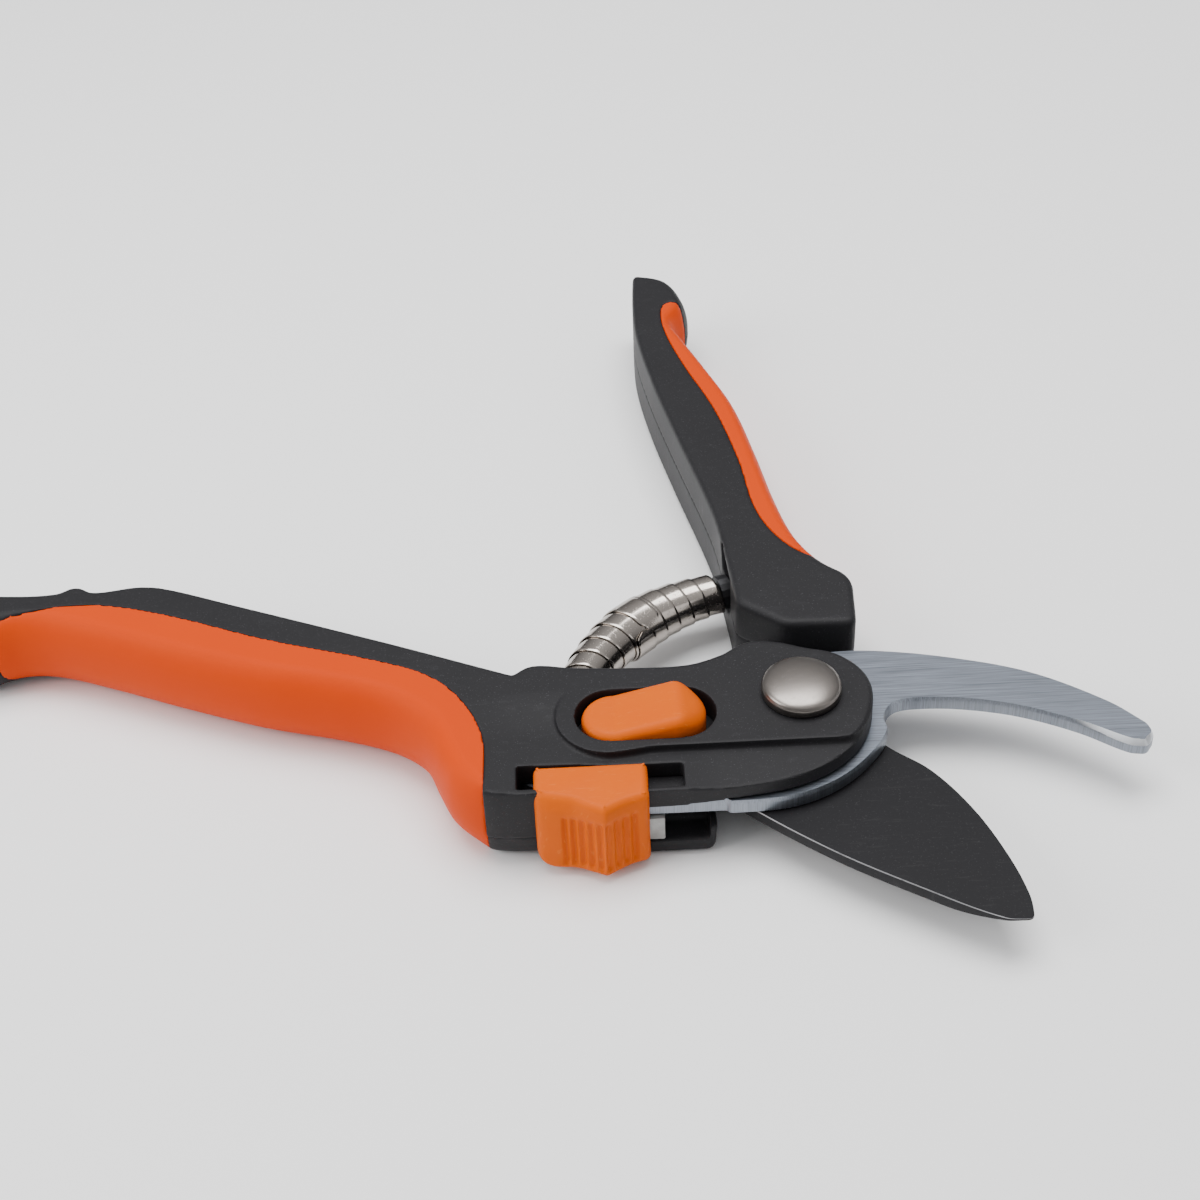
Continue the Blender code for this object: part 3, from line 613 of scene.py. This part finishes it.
def handleStack(name, loop, handle, low, high, frontSoft=None):
    # stacked outlines whose inset follows the rounded edges of the whole handle
    shares = softShares(loop, handle)
    if frontSoft:
        # rounding of the front lower edge: (from x, to x, share) runs
        for first, last, share in frontSoft:
            shares = [share if p.y < frontLine and first < p.x < last else s
                      for p, s in zip(loop, shares)]
        shares = averaged(shares, 3)
    room = roomInside(loop)
    tipFrom, tipGrow = handle["tip"]
    bendPlace, bendReach = handle.get("bendAt", (0.0, 1.0))
    swellFrom, swellTo, swell = handle.get("front", (0.0, 0.0, 0.0))
    grow = []
    for point, share in zip(loop, shares):
        trimTo = handle["trimTo"]
        beside = -handle["trim"] * (1 - smoothStep(point.x, trimTo, trimTo + 8.0))
        beside -= handle["bend"] * math.exp(-((point.x - bendPlace) / bendReach) ** 2)
        far = handle["grow"] if point.x < handle["growTo"] else 0.0
        ending = smoothStep(point.y, tipFrom, tipFrom + 10.0) * tipGrow
        front = swell if swellFrom < point.x < swellTo and point.y < frontLine else 0.0
        grow.append(share * beside + (1 - share) * far + ending + front)
    grow = averaged(grow, 4)
    middle = heights["top"] / 2
    # denser levels near the flat faces, where the rounding turns fastest
    levels = sorted({round(middle + middle * math.sin(math.radians(a)), 3)
                     for a in range(-90, 91, 10)} | {0.06, 0.25, 0.7, 17.3, 17.75, 17.94})
    levels = [low] + [z for z in levels if low + 0.05 < z < high - 0.05] + [high]
    rings = []
    for z in levels:
        lean = min(1.0, abs(z - middle) / middle)
        reach = handle["softTop"] if z > middle else handle["softBase"]
        soft = reach * (1 - math.sqrt(max(0.0, 1 - lean * lean)))
        depth = handle["hardReach"] - min(z, heights["top"] - z)
        share = max(0.0, min(1.0, depth / handle["hardReach"]))
        hard = handle["hardReach"] * (1 - math.sqrt(max(0.0, 1 - share * share)))
        amounts = [min(r, s * soft + (1 - s) * hard) - g
                   for s, r, g in zip(shares, room, grow)]
        rings.append([(p.x, p.y, z) for p in inset(loop, averaged(amounts, 1))])
    return loft(name, rings)


def gripBand(handle, shift):
    # plan of what the soft grip covers; shift moves the seam outwards
    run = [Vector((p[0], p[1])) for p in handle["seam"]]
    moved = []
    for i, point in enumerate(run):
        along = (run[min(i + 1, len(run) - 1)] - run[max(i - 1, 0)]).normalized()
        moved.append(point + Vector((along.y, -along.x)) * shift)
    corners = [(p.x, p.y) for p in moved]
    corners[0], corners[-1] = (*corners[0], 0.0), (*corners[-1], 0.0)
    return loopThrough(corners + handle["outside"], 10)


spring = {
    "from": (-40.4, 12.3), "to": (-12.4, 38.0), "length": 39.6, "turns": 5.5, "width": 5.2,
    "strip": 0.26, "endRadius": 3.7, "growth": 0.31, "steps": 60, "phase": -0.6}
spring["section"] = [(k / 4, 0.0) for k in (-3.9, -3, -2, -1, 0, 1, 2, 3, 3.9)] + [
    (1.0, -0.2), (1.0, -0.8)] + [(k / 4, -1.0) for k in (3.9, 3, 2, 1, 0, -1, -2, -3, -3.9)] + [
    (-1.0, -0.8), (-1.0, -0.2)]


def springPath(share):
    # point and direction on the bent line that the spring follows
    a, b = Vector(spring["from"]), Vector(spring["to"])
    spread = a.angle_signed(b)
    turn = math.atan2(a.y, a.x) - spread * share
    radius = a.length + (b.length - a.length) * share
    point = Vector((math.cos(turn), math.sin(turn))) * radius
    return point, Vector((math.sin(turn), -math.cos(turn)))


def springPocket(name, share, reach, radius=4.4):
    point, along = springPath(share)
    away = along if reach > 0 else -along
    profile = [(0.0, -3.2), (radius, -3.2), (radius, 14.0), (0.0, 14.0)]
    return turned(name, profile, (point.x, point.y, heights["spring"]),
                  (away.x, away.y, 0.0), 40)


def pointedSlot():
    # the spring's opening runs on to a point beside the handle's top edge
    side = [(33.5, 6.0), (33.5, 15.6), (38.5, 16.4), (44.6, 17.2), (42.4, 13.0), (41.4, 9.6),
            (40.0, 6.0)]
    rings = []
    for x in (-17.0, -9.2):
        rings.append([(x, y, z) for y, z in side])
    return loft("pointed_slot", rings)


def drill(thing, places, headRadius, headDepth):
    for k, place in enumerate(places):
        profile = [(0.0, -1.0), (headRadius, -1.0), (headRadius, headDepth), (1.5, headDepth),
                   (1.5, 15.0), (0.0, 15.0)]
        cut(thing, turned(f"{thing.name}_hole_{k}", profile, (place[0], place[1], 0.0), sides=28))
    return thing


def makeGrip(word, loop, handle, cell, body):
    grip = handleStack(f"{word}_soft_grip", loop, handle, 0.0, heights["top"])
    band = prism(f"{word}_band", gripBand(handle, seamGap["soft"]), *through)
    mould(cut(grip, band, "INTERSECT"), cell)
    complete(grip, body, paints["rubber"], [f"{word}_grip"])


def makeUpperHandle():
    loop = evenly(loopThrough(upper["outline"]), 0.8)
    parting, overlap = heights["bladeHigh"] + 0.12, 0.14
    top = handleStack("upper_shell_top", loop, upper, parting - overlap, heights["top"])
    cut(top, prism("upper_seam_top", gripBand(upper, seamGap["hard"]), *through))
    cut(top, springPocket("upper_pocket_top", 1.0, -1))
    cut(top, pointedSlot())
    drill(top, upper["screws"], 1.5, 1.0)
    mould(top, 0.36)
    complete(top, movingSide, paints["nylon"], ["upper_handle_top_shell"])

    base = handleStack("upper_shell_base", loop, upper, 0.0, parting + overlap)
    cut(base, prism("upper_seam_base", gripBand(upper, seamGap["hard"]), *through))
    tang = inset(loopThrough(bladeOutline), -0.2)
    cut(base, prism("upper_tang_room", tang, heights["bladeLow"] - 0.2, 20))
    cut(base, springPocket("upper_pocket_base", 1.0, -1))
    drill(base, upper["screws"], 2.5, 2.5)
    mould(base, 0.42)
    complete(base, movingSide, paints["nylon"], ["upper_handle_bottom_shell"])

    makeGrip("upper", loop, upper, 0.40, movingSide)


# the lower handle's head: slide slot, raised plate, and the bezel round the button's opening
head = {
    "slot": ((-51.0, -20.0), (-22.0, -14.4)), "ledge": 16.3, "plateEdge": -11.7, "lipFoot": 11.9,
    "opening": ((-34.2, -3.5), (-21.8, -3.5)), "openingRadius": 6.4, "bezel": 9.4,
    "bezelCentre": (-34.6, -3.4), "bezelTurn": (118.0, 270.0), "wallEnd": (-44.8, -20.3),
    "plateCorner": [(7.0, -11.6), (8.0, -11.1), (8.9, -10.35), (10.1, -9.0), (11.2, -7.3),
                    (12.0, -5.4), (12.5, -3.4), (12.75, -1.4), (12.8, 0.6)],
    "plateRight": 5.6, "borderTop": 21.0, "boltPocket": ((-37.0, -26.0), (-17.7, -15.9))}


def ledgeHeight(x, y, away):
    # height of the sunken surface round the raised plate
    full = heights["top"] + 0.05
    leftRise = 0.45 * smoothStep(-x, 33.0, 43.0) + 0.55 * smoothStep(-x, 44.0, 68.0)
    backRise = smoothStep(y, -8.0, 5.0) if x < -30.0 else 0.0
    endRise = smoothStep(y, -7.0, -1.5) if x > 6.0 else 0.0
    keep = (1 - leftRise) * (1 - backRise) * (1 - endRise)
    slope = 0.07 * away * smoothStep(x, -24.0, -14.0)
    return full - (full - head["ledge"] + slope) * keep


def sunkenBorder():
    # cutter that leaves the plate, bezel and ledge: it follows the plate's lower border
    cx, cy = head["bezelCentre"]
    path = []
    first, last = head["bezelTurn"]
    for k in range(44):
        turn = math.radians(first + (last - first) * k / 43)
        path.append(Vector((cx + head["bezel"] * math.cos(turn),
                            cy + head["bezel"] * math.sin(turn))))
    low, edge = cy - head["bezel"], head["plateEdge"]
    for k in range(1, 26):
        x = cx + (head["plateRight"] - cx) * k / 25
        path.append(Vector((x, low + (edge - low) * smoothStep(x, cx, cx + 9.0))))
    path += [Vector(p) for p in head["plateCorner"]]
    rings = []
    for k, point in enumerate(path):
        along = path[min(k + 1, len(path) - 1)] - path[max(k - 1, 0)]
        out = Vector((along.y, -along.x)).normalized()
        ring = []
        for away in (0.0, 0.6, 1.5, 3.0, 5.0, 7.5, 10.5, 14.0, 19.0, 25.0):
            spot = point + out * away
            ring.append((spot.x, spot.y, ledgeHeight(spot.x, spot.y, away)))
        far = point + out * 25.0
        ring += [(far.x, far.y, head["borderTop"]), (point.x, point.y, head["borderTop"])]
        rings.append(ring)
    return loft("sunken_border", rings)


def makeLowerHandle():
    loop = evenly(loopThrough(lower["outline"]), 0.8)
    hookRoom = inset(loopThrough(hookOutline), -0.15)
    roof = heights["headFloor"]
    top = handleStack("lower_shell_top", loop, lower, heights["split"], heights["top"],
                      [(-60.0, -38.0, 0.15)])
    cut(top, prism("lower_seam_top", gripBand(lower, seamGap["hard"]), *through))
    cut(top, prism("hook_room", hookRoom, -1, roof))
    # the front wall hangs a little below the plate's upper face, less towards the hinge
    left, front = head["wallEnd"]
    side = [(left, -1.0), (left, head["lipFoot"]), (-24.0, head["lipFoot"] + 0.1),
            (-12.5, roof), (30.0, roof), (30.0, -1.0)]
    cut(top, loft("head_room", [[(x, y, z) for x, z in side] for y in (-30.0, 30.0)]))
    cut(top, prism("plate_room", rectangle(((left, front), (30.0, 30.0))), -1, roof))
    cut(top, sunkenBorder())
    cut(top, prism("slider_slot", rectangle(head["slot"]), *through))
    cut(top, prism("opening", stadium(head["opening"], head["openingRadius"]), *through))
    cut(top, drum("bolt_hole", (0, 0), heights["shank"] + 0.2, *through))
    cut(top, springPocket("lower_pocket_top", 0.0, 1))
    drill(top, lower["screws"], 1.5, 1.0)
    mould(top, 0.26, 2)
    complete(top, fixedSide, paints["nylon"], ["lower_handle_top_shell"])

    run = [p for p in lower["outline"] if p[0] < -52.0]
    plan = evenly(loopThrough(lower["baseHead"] + run + lower["baseFront"]), 0.8)
    base = handleStack("lower_shell_base", plan, lower, 0.0, heights["split"] - 0.1,
                       [(-60.0, -38.0, 0.5), (-38.0, -14.0, 0.1)])
    cut(base, prism("lower_seam_base", gripBand(lower, seamGap["hard"]), *through))
    cut(base, prism("bolt_pocket", rectangle(head["boltPocket"]), 3.6, 20))
    cut(base, drum("nut_recess", (0, 0), 7.3, -1, 3.0))
    cut(base, drum("bolt_hole_base", (0, 0), heights["shank"] + 0.2, *through))
    for k, place in enumerate(lower["screws"][:2]):
        cut(base, drum(f"boss_{k}", place, 2.9, 3.5, heights["hookLow"] - 0.3), "UNION")
    cut(base, springPocket("lower_pocket_base", 0.0, 1))
    drill(base, lower["screws"], 2.5, 2.5)
    mould(base, 0.42)
    complete(base, fixedSide, paints["nylon"], ["lower_handle_bottom_shell"])

    makeGrip("lower", loop, lower, 0.45, fixedSide)


def plateStack(name, loop, low, high, bottoms, tops):
    # flat plate whose upper and lower rims are inset point by point
    room = roomInside(loop)

    def ring(amounts, z):
        return [(p.x, p.y, z) for p in inset(loop, [min(a, r) for a, r in zip(amounts, room)])]

    none = [0.0] * len(loop)
    rise = min(0.9, (high - low) * 0.35)  # height of the chamfer
    return loft(name, [ring(bottoms, low), ring(none, low + 0.16), ring(none, high - rise),
                       ring([0.12 * t for t in tops], high - rise * 0.8), ring(tops, high)])


def boreOut(plate, word, radius, screws):
    # the hinge bore, and holes for the two screws that pass through the plate
    cut(plate, drum(f"{word}_bore", (0, 0), radius + 0.2, 0, 20, 64))
    for k, place in enumerate(screws[:2]):
        cut(plate, drum(f"{word}_hole_{k}", place, 1.5, 0, 20, 28))


def makeHook():
    loop = evenly(loopThrough(hookOutline), 0.45)
    tops = []
    for p in loop:
        # the chamfer is widest on the hook's inner edge and grows towards the tip
        inner = p.x > 18.0 and p.y < 2.4 - max(0.0, p.x - 22.0) ** 2 / 115.0 + 1.6
        swell = smoothStep(p.x, 44.0, 61.0)
        tops.append(0.22 + (0.8 * swell if inner else 0.1 * swell))
    tops = averaged(tops, 3)
    hook = plateStack("hook_plate", loop, heights["hookLow"], heights["hookHigh"],
                      [0.14] * len(loop), tops)
    boreOut(hook, "hook", heights["shank"], lower["screws"])
    cut(hook, prism("pin_slot", stadium(button["pinRun"], button["pinRoom"], 12), 0, 20))
    complete(hook, fixedSide, paints["hook"], ["hook_blade"], 24.0)


def makeBlade():
    # hollow-ground underneath along the cutting edge, thinning towards the tip
    loop = evenly(loopThrough(bladeOutline), 0.45)
    low, high = heights["bladeLow"], heights["bladeHigh"]
    bottoms, tops, lows = [], [], []
    for p in loop:
        # the cutting edge is the far side of a slanting line below the hinge
        cutting = p.x > 12.5 and p.y < -4.0 and p.x > 13.0 + (-4.0 - p.y) * 0.42
        body = smoothStep(math.hypot(p.x - 33.6, p.y + 47.2), 0.5, 15.0)
        ground = 3.6 * smoothStep(-p.y, 4.0, 12.0) * body
        bottoms.append(ground if cutting else 0.16)
        tops.append(0.12 if p.y < 0.0 and not cutting else 0.03)
        lows.append(high - 0.4 - (high - low - 0.4) * body)
    bottoms, tops, lows = (averaged(averaged(run, 3), 3) for run in (bottoms, tops, lows))
    room = roomInside(loop)

    def ring(amounts, share):
        moved = inset(loop, [min(a, r) for a, r in zip(amounts, room)])
        return [(p.x, p.y, foot + (high - foot) * share) for p, foot in zip(moved, lows)]

    blade = loft("blade_plate", [
        ring(bottoms, 0.0), ring([0.5 * b if b > 0.3 else 0.0 for b in bottoms], 0.36),
        ring([0.12 * b for b in bottoms], 0.82), ring([0.0] * len(loop), 0.93),
        ring(tops, 1.0)])
    boreOut(blade, "blade", heights["bush"], upper["screws"])
    complete(blade, movingSide, paints["blade"], ["cutting_blade"], 24.0)


hinge = {"rim": 7.15, "crown": 3.5, "nut": 6.6, "brim": 0.2, "edgeTop": 1.92, "pinHoles": 4.9}


def makeHinge():
    rim, top, shank = hinge["rim"], heights["top"], heights["shank"]
    shoulder, peak, edge = rim - hinge["brim"], hinge["crown"], hinge["edgeTop"]
    profile = [(0.0, 1.0), (shank, 1.0), (shank, top + 0.2), (rim - 0.35, top + 0.2),
               (rim - 0.08, top + 0.3), (rim, top + 0.5), (rim, top + 1.55),
               (rim - 0.04, top + 1.75), (shoulder, top + edge)]
    for k in range(1, 15):
        turn = math.radians(90.0 * k / 14)
        profile.append((shoulder * math.cos(turn),
                        top + edge + (peak - edge) * math.sin(turn)))
    profile[-1] = (0.0, top + peak)
    bolt = turned("hinge_bolt", profile, sides=112)
    complete(bolt, fixedSide, paints["nickel"], ["pivot_bolt"], 50.0)

    outer = hinge["nut"]
    profile = [(0.0, 0.0), (outer - 0.5, 0.0), (outer - 0.1, 0.12), (outer, 0.45),
               (outer, 1.9), (outer - 0.2, 2.0), (shank + 0.2, 2.0), (shank + 0.2, 0.8),
               (0.0, 0.8)]
    nut = turned("hinge_nut", profile, sides=72)
    for k, side in enumerate((-1, 1)):
        cut(nut, drum(f"nut_pin_hole_{k}", (hinge["pinHoles"] * side, 0.0), 0.75, -1, 1.4, 24))
    complete(nut, fixedSide, paints["nickel"], ["pivot_nut"], 40.0)

    ring = [(shank + 0.3, 2.3), (5.9, 2.3), (6.0, 2.4), (6.0, 2.6), (5.9, 2.7),
            (shank + 0.3, 2.7)]
    washer = turned("hinge_washer", ring, sides=64)
    complete(washer, fixedSide, paints["steel"], ["pivot_washer"])
    low, high, bush = heights["bladeLow"], heights["bladeHigh"], heights["bush"]
    ring = [(shank + 0.3, low), (bush - 0.1, low), (bush, low + 0.1), (bush, high - 0.1),
            (bush - 0.1, high), (shank + 0.3, high)]
    sleeve = turned("hinge_bush", ring, sides=64)
    complete(sleeve, movingSide, paints["bronze"], ["pivot_bush"])


def makeScrews(prefix, places, body):
    # cross-recessed pan heads sunk in the underside
    for place, word in zip(places, ("front", "middle", "rear")):
        profile = [(0.0, 0.4), (1.2, 0.42), (1.8, 0.55), (2.05, 0.85), (2.1, 1.2), (2.1, 1.9),
                   (1.2, 2.0), (1.2, 14.0), (0.7, 14.5), (0.0, 14.6)]
        screw = turned(f"{prefix}_screw_head_{word}", profile, (place[0], place[1], 0.0),
                       sides=36)
        for k, (dx, dy) in enumerate(((1.15, 0.26), (0.26, 1.15))):
            arm = rectangle(((place[0] - dx, place[1] - dy), (place[0] + dx, place[1] + dy)))
            cut(screw, prism(f"{screw.name}_arm_{k}", arm, -1, 1.3))
        complete(screw, body, paints["steel"], [f"{prefix}_screw_{word}"])


def ribbon(sign):
    # one half of the spring: a strip that winds outwards from an end to the middle
    rings = []
    turns, width, strip = spring["turns"], spring["width"], spring["strip"]
    reach = width / spring["length"]
    pitch = (0.5 + 0.02) / turns
    count = int(turns * spring["steps"])
    for k in range(count + 1):
        t = k / spring["steps"]
        turn = 2 * math.pi * t
        radius = spring["endRadius"] + spring["growth"] * t + (0.16 if sign < 0 else 0.0)
        start = pitch * (t - 0.5)
        # the strip narrows to a rounded tongue at its outer end
        left = (turns - t) * spring["steps"]
        tongue = 1.0 if left > 3 else math.sqrt(max(0.02, 1 - (1 - left / 3.0) ** 2))
        begin = 1.0 if k > 3 else math.sqrt(max(0.02, 1 - (1 - k / 3.0) ** 2))
        half = reach * 0.5 * min(tongue, begin)
        centre = start + reach * 0.5
        section = []
        for offset, lift in spring["section"]:
            share = centre + half * offset
            share = share if sign > 0 else 1.0 - share
            point, along = springPath(share)
            across = Vector((-along.y, along.x))
            r = radius + strip * lift
            bend = -turn if sign < 0 else turn
            flat = point + across * (r * math.cos(bend + spring["phase"]))
            section.append((flat.x, flat.y,
                            heights["spring"] + r * math.sin(bend + spring["phase"])))
        rings.append(section)
    return rings


def makeSpring():
    coil = loft("coiled_strip", ribbon(1), ribbon(-1))
    complete(coil, None, paints["strip"], ["volute_spring"], 45.0)
    (x0, y0), (x1, y1) = spring["from"], spring["to"]
    x0 / 1000
    y0 / 1000
    x1 / 1000
    y1 / 1000
    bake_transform(coil)


slider = {
    "plan": [(-48.1, -14.7, 1.2), (-48.1, -23.6, 1.9), (-44.6, -24.4), (-41.2, -24.8),
             (-38.6, -25.9), (-36.0, -27.1, 0.6), (-33.6, -25.6), (-31.0, -24.3),
             (-28.3, -23.6, 1.2), (-28.3, -14.7, 1.2)],
    "low": 1.4, "high": 17.4, "edge": 1.2, "ribFrom": -43.7, "ribTo": -30.2, "ribs": 9,
    "ribDepth": 0.55, "inside": -21.2, "roomTop": 13.4, "lipTop": 16.7,
    "seat": ((-36.3, -22.6), (-17.0, -10.0)), "seatFrom": 3.6, "seatTo": 9.6,
    "nose": ((-36.0, -20.9), (-25.6, -16.2)), "tail": ((-36.0, -22.3), (-28.9, -20.0)),
    "noseFrom": 3.9, "noseTo": 9.2}


def ribShare(x, y, z):
    # depth of the finger ribs on the slider's front faces
    if y > -21.9 or not slider["ribFrom"] < x < slider["ribTo"]:
        return 0.0
    top = 13.6 + 0.6 * smoothStep(x, -42.0, -36.0)
    pitch = (slider["ribTo"] - slider["ribFrom"]) / slider["ribs"]
    wave = 0.5 - 0.5 * math.cos(2 * math.pi * (x - slider["ribFrom"]) / pitch)
    return wave ** 0.7 * smoothStep(z, 2.2, 3.4) * (1 - smoothStep(z, top - 0.9, top + 0.3))


def frontLean(x, y, z):
    # how far the slider's front face leans back above its foot
    front = smoothStep(-y, 18.2, 23.8)
    amount = 2.3 - 1.2 * smoothStep(x, -45.0, -37.0) - 0.3 * smoothStep(x, -35.0, -30.0)
    rise = (z - slider["low"]) / (slider["high"] - slider["low"])
    return front * amount * (0.72 * rise * rise + 0.28 * smoothStep(rise, 0.80, 1.0))


def makeLock():
    loop = evenly(loopThrough(slider["plan"], 12), 0.16)
    low, high, edge = slider["low"], slider["high"], slider["edge"]
    levels = [(low, 0.8), (low + 0.1, 0.5), (low + 0.35, 0.2), (low + 0.8, 0.0)]
    levels += [(low + 0.8 + k * 0.4, 0.0) for k in range(1, 35)]
    for k in range(6):
        turn = math.radians(18.0 * k)
        levels.append((high - edge + edge * math.sin(turn), edge * (1 - math.cos(turn))))
    room = roomInside(loop, 2)
    rings = []
    for z, amount in levels:
        amounts = [min(amount, r) + slider["ribDepth"] * ribShare(p.x, p.y, z)
                   for p, r in zip(loop, room)]
        ring = []
        for p in inset(loop, amounts):
            # the lower left corner of the block is well rounded
            lean = min(1.0, max(0.0, (-44.6 - p.x) / 3.4))
            lift = 2.6 * (1 - math.sqrt(1 - lean * lean))
            ring.append((p.x, p.y + frontLean(p.x, p.y, z),
                         z + lift * max(0.0, 1 - (z - low) / 7.0)))
        rings.append(ring)
    block = loft("slider_block", rings)
    (x0, y0), (x1, _) = head["slot"]
    x0, x1, inside = x0 - 5.0, x1 + 5.0, slider["inside"]
    inner, lip = rectangle(((x0, inside), (x1, -10.0))), rectangle(((x0, inside), (x1, y0 + 0.3)))
    cut(block, prism("slider_room_low", inner, -1, slider["roomTop"]))
    cut(block, prism("slider_room_lip", lip, -1, slider["lipTop"]))
    seat = rectangle(slider["seat"])
    cut(block, prism("bolt_seat", seat, slider["seatFrom"], slider["seatTo"]))
    complete(block, lockBody, paints["gloss"], ["lock_slider"], 50.0)

    foot, crest = slider["noseFrom"], slider["noseTo"]
    bolt = prism("lock_nose", rectangle(slider["nose"]), foot, crest)
    cut(bolt, prism("nose_tail", rectangle(slider["tail"]), foot, crest), "UNION")
    bevelled(bolt, 0.25)
    complete(bolt, lockBody, paints["cast"], ["lock_bolt"])


button = {
    "centres": ((-33.6, -3.5), (-23.1, -3.5)), "radius": 5.85, "low": 13.4, "shelf": 18.0,
    "dip": 0.3, "hump": 20.9, "round": 1.8, "shoulder": 16.6,
    "pinRun": ((-29.0, -3.5), (-27.5, -3.5)), "pinRoom": 1.9, "pinTop": 17.3}


def buttonCrown(x):
    # height along the button: a low end, a shallow dip, then a hump that falls away
    rise = smoothStep(x, -29.6, -22.6)
    dip = button["dip"] * math.exp(-((x + 30.0) / 2.6) ** 2)
    fall = 1.6 * smoothStep(x, -22.4, -17.0)
    return button["shelf"] + (button["hump"] - button["shelf"]) * rise - dip - fall


def makeSelector():
    radius, rounding = button["radius"], button["round"]
    rings = [[(p.x, p.y, button["low"]) for p in stadium(button["centres"], radius, 36)],
             [(p.x, p.y, button["shoulder"]) for p in stadium(button["centres"], radius, 36)]]
    depths = [0.0, 0.05, 0.15, 0.35, 0.6, 0.95, 1.35, 1.8, 2.5, 3.3, 4.2, 5.1, 5.8]
    for depth in depths:
        drop = rounding * (1 - math.sqrt(1 - max(0.0, 1 - depth / rounding) ** 2))
        ring = []
        for p in stadium(button["centres"], radius - depth, 36):
            crown = buttonCrown(p.x)
            lean = 0.22 * max(0.0, crown - drop - 17.4) * smoothStep(p.x, -22.5, -18.0)
            ring.append((p.x - lean, p.y, crown - drop))
        rings.append(ring)
    thumb = loft("selector_thumb", rings)
    pin, room = button["pinRun"][0], button["pinRoom"]
    cut(thumb, drum("thumb_pin_hole", pin, room, 12, button["pinTop"], 32))
    complete(thumb, selectorBody, paints["gloss"], ["selector_button"], 50.0)


# black strip under the head's openings: painted shade in place of the shade inside them
shadeStrip = {"plan": ((-44.0, -19.9), (-15.0, 3.6)), "thick": 0.14}


def makeShadeStrip():
    # thin black strip on the hook plate, a dark sheet that puts painted shade into the head's two
    # openings
    high = heights["hookHigh"]
    strip = prism("shade_strip", rectangle(shadeStrip["plan"]), high + 0.02, high + shadeStrip["thick"])
    cut(strip, prism("strip_slot", stadium(button["pinRun"], button["pinRoom"], 12), 0, 20))
    complete(strip, fixedSide, paints["nylon"], [])


makeUpperHandle()
print("upper handle done")
makeLowerHandle()
print("lower handle done")
makeHook()
makeBlade()
makeHinge()
makeScrews("upper", upper["screws"], movingSide)
makeScrews("lower", lower["screws"], fixedSide)
makeSpring()
makeLock()
makeSelector()
makeShadeStrip()
print("metal parts, lock and selector done")

# the frame's own hidden pieces keep their shape and get real finishes
hiddenPieces = {
    "lower_spring_seat": "dark", "upper_spring_seat": "dark", "lock_detent_spring": "strip",
    "selector_detent_spring": "strip", "selector_pin": "steel"}
for name, word in hiddenPieces.items():
    for holder in nodes[name].material_slots:
        holder.material = paints[word]


# camera in metres and degrees from the hinge; the room's tones run from nadir to zenith
studio = {
    "distance": 0.35714, "elevation": 41.0, "roll": 2.8, "aside": 0.035893, "below": 0.016339,
    "lens": 60.0, "sensor": 36.0, "aim": (0.0, 0.0, 0.018), "floorHalf": 2.5, "floorGap": 0.0003,
    "roomTones": [(0.02, (0.14, 0.14, 0.1428)), (0.5, (0.5, 0.5, 0.51)), (1.0, (1.0, 1.0, 1.0))]}
# each light: place, aim, size, power in watts
lights = {
    "overhead": ((-0.05, 0.15, 0.75), (0, 0, 0), (0.7, 0.45), 7.5),
    "leftBox": ((-0.75, -0.15, 0.45), (-0.03, 0.02, 0.01), (0.5, 0.5), 4.5),
    "rightBox": ((0.65, -0.35, 0.35), (0.0, 0.0, 0.01), (0.3, 0.4), 0.4)}


def makeCamera():
    lens = bpy.data.cameras.new("studioCamera")
    lens.lens, lens.sensor_width = studio["lens"], studio["sensor"]
    lens.clip_start, lens.clip_end = 0.01, 20.0
    camera = bpy.data.objects.new("studioCamera", lens)
    bpy.context.scene.collection.objects.link(camera)
    tilt, roll = math.radians(studio["elevation"]), math.radians(studio["roll"])
    turn = Matrix.Rotation(math.pi / 2 - tilt, 3, "X") @ Matrix.Rotation(-roll, 3, "Z")
    right, up, back = turn.col[0], turn.col[1], turn.col[2]
    place = Vector(studio["aim"]) - right * studio["aside"] + up * studio["below"]
    place = place + back * studio["distance"]
    camera.matrix_world = Matrix.Translation(place) @ turn.to_4x4()
    bpy.context.scene.camera = camera


def softLight(name, place, aim, size, power):
    lamp = bpy.data.lights.new(name, "AREA")
    lamp.shape, lamp.size, lamp.size_y = "RECTANGLE", size[0], size[1]
    lamp.energy = power
    thing = bpy.data.objects.new(name, lamp)
    bpy.context.scene.collection.objects.link(thing)
    thing.location = place
    thing.rotation_euler = (Vector(aim) - Vector(place)).to_track_quat("-Z", "Y").to_euler()


def makeFloor():
    body = bmesh.new()
    low, half = cadBox[0][2] - studio["floorGap"], studio["floorHalf"]
    corners = rectangle(((-half, -half), (half, half)))
    body.faces.new([body.verts.new((p.x, p.y, low)) for p in corners])
    floor = newThing("paleFloor", body)
    paint = newPaint("paleFloor")
    cloud = paint.noise(paint.place(), 12.0, 3.0)
    colour = paint.mix(cloud * 0.3, (0.95, 0.95, 0.95), (0.92, 0.92, 0.92))
    floor.data.materials.append(paint.finish({"Base Color": colour, "Roughness": 0.7}))


def makeWorld():
    # a room that is dark low down and pale overhead
    world = bpy.data.worlds.new("studioRoom")
    bpy.context.scene.world = world
    room = Paint(world)
    where = room.add("ShaderNodeTexCoord", take="Generated")
    height = room.add("ShaderNodeSeparateXYZ", None, {"Vector": where}, take="Z")
    tones = room.add("ShaderNodeValToRGB", {"stops": studio["roomTones"]}, {"Fac": height})
    back = room.add("ShaderNodeBackground", None, {"Color": tones, "Strength": 1.0})
    room.add("ShaderNodeOutputWorld", None, {"Surface": back})


makeCamera()
makeFloor()
makeWorld()
for name, (place, aim, size, power) in lights.items():
    softLight(name, place, aim, size, power)
print("studio ready")
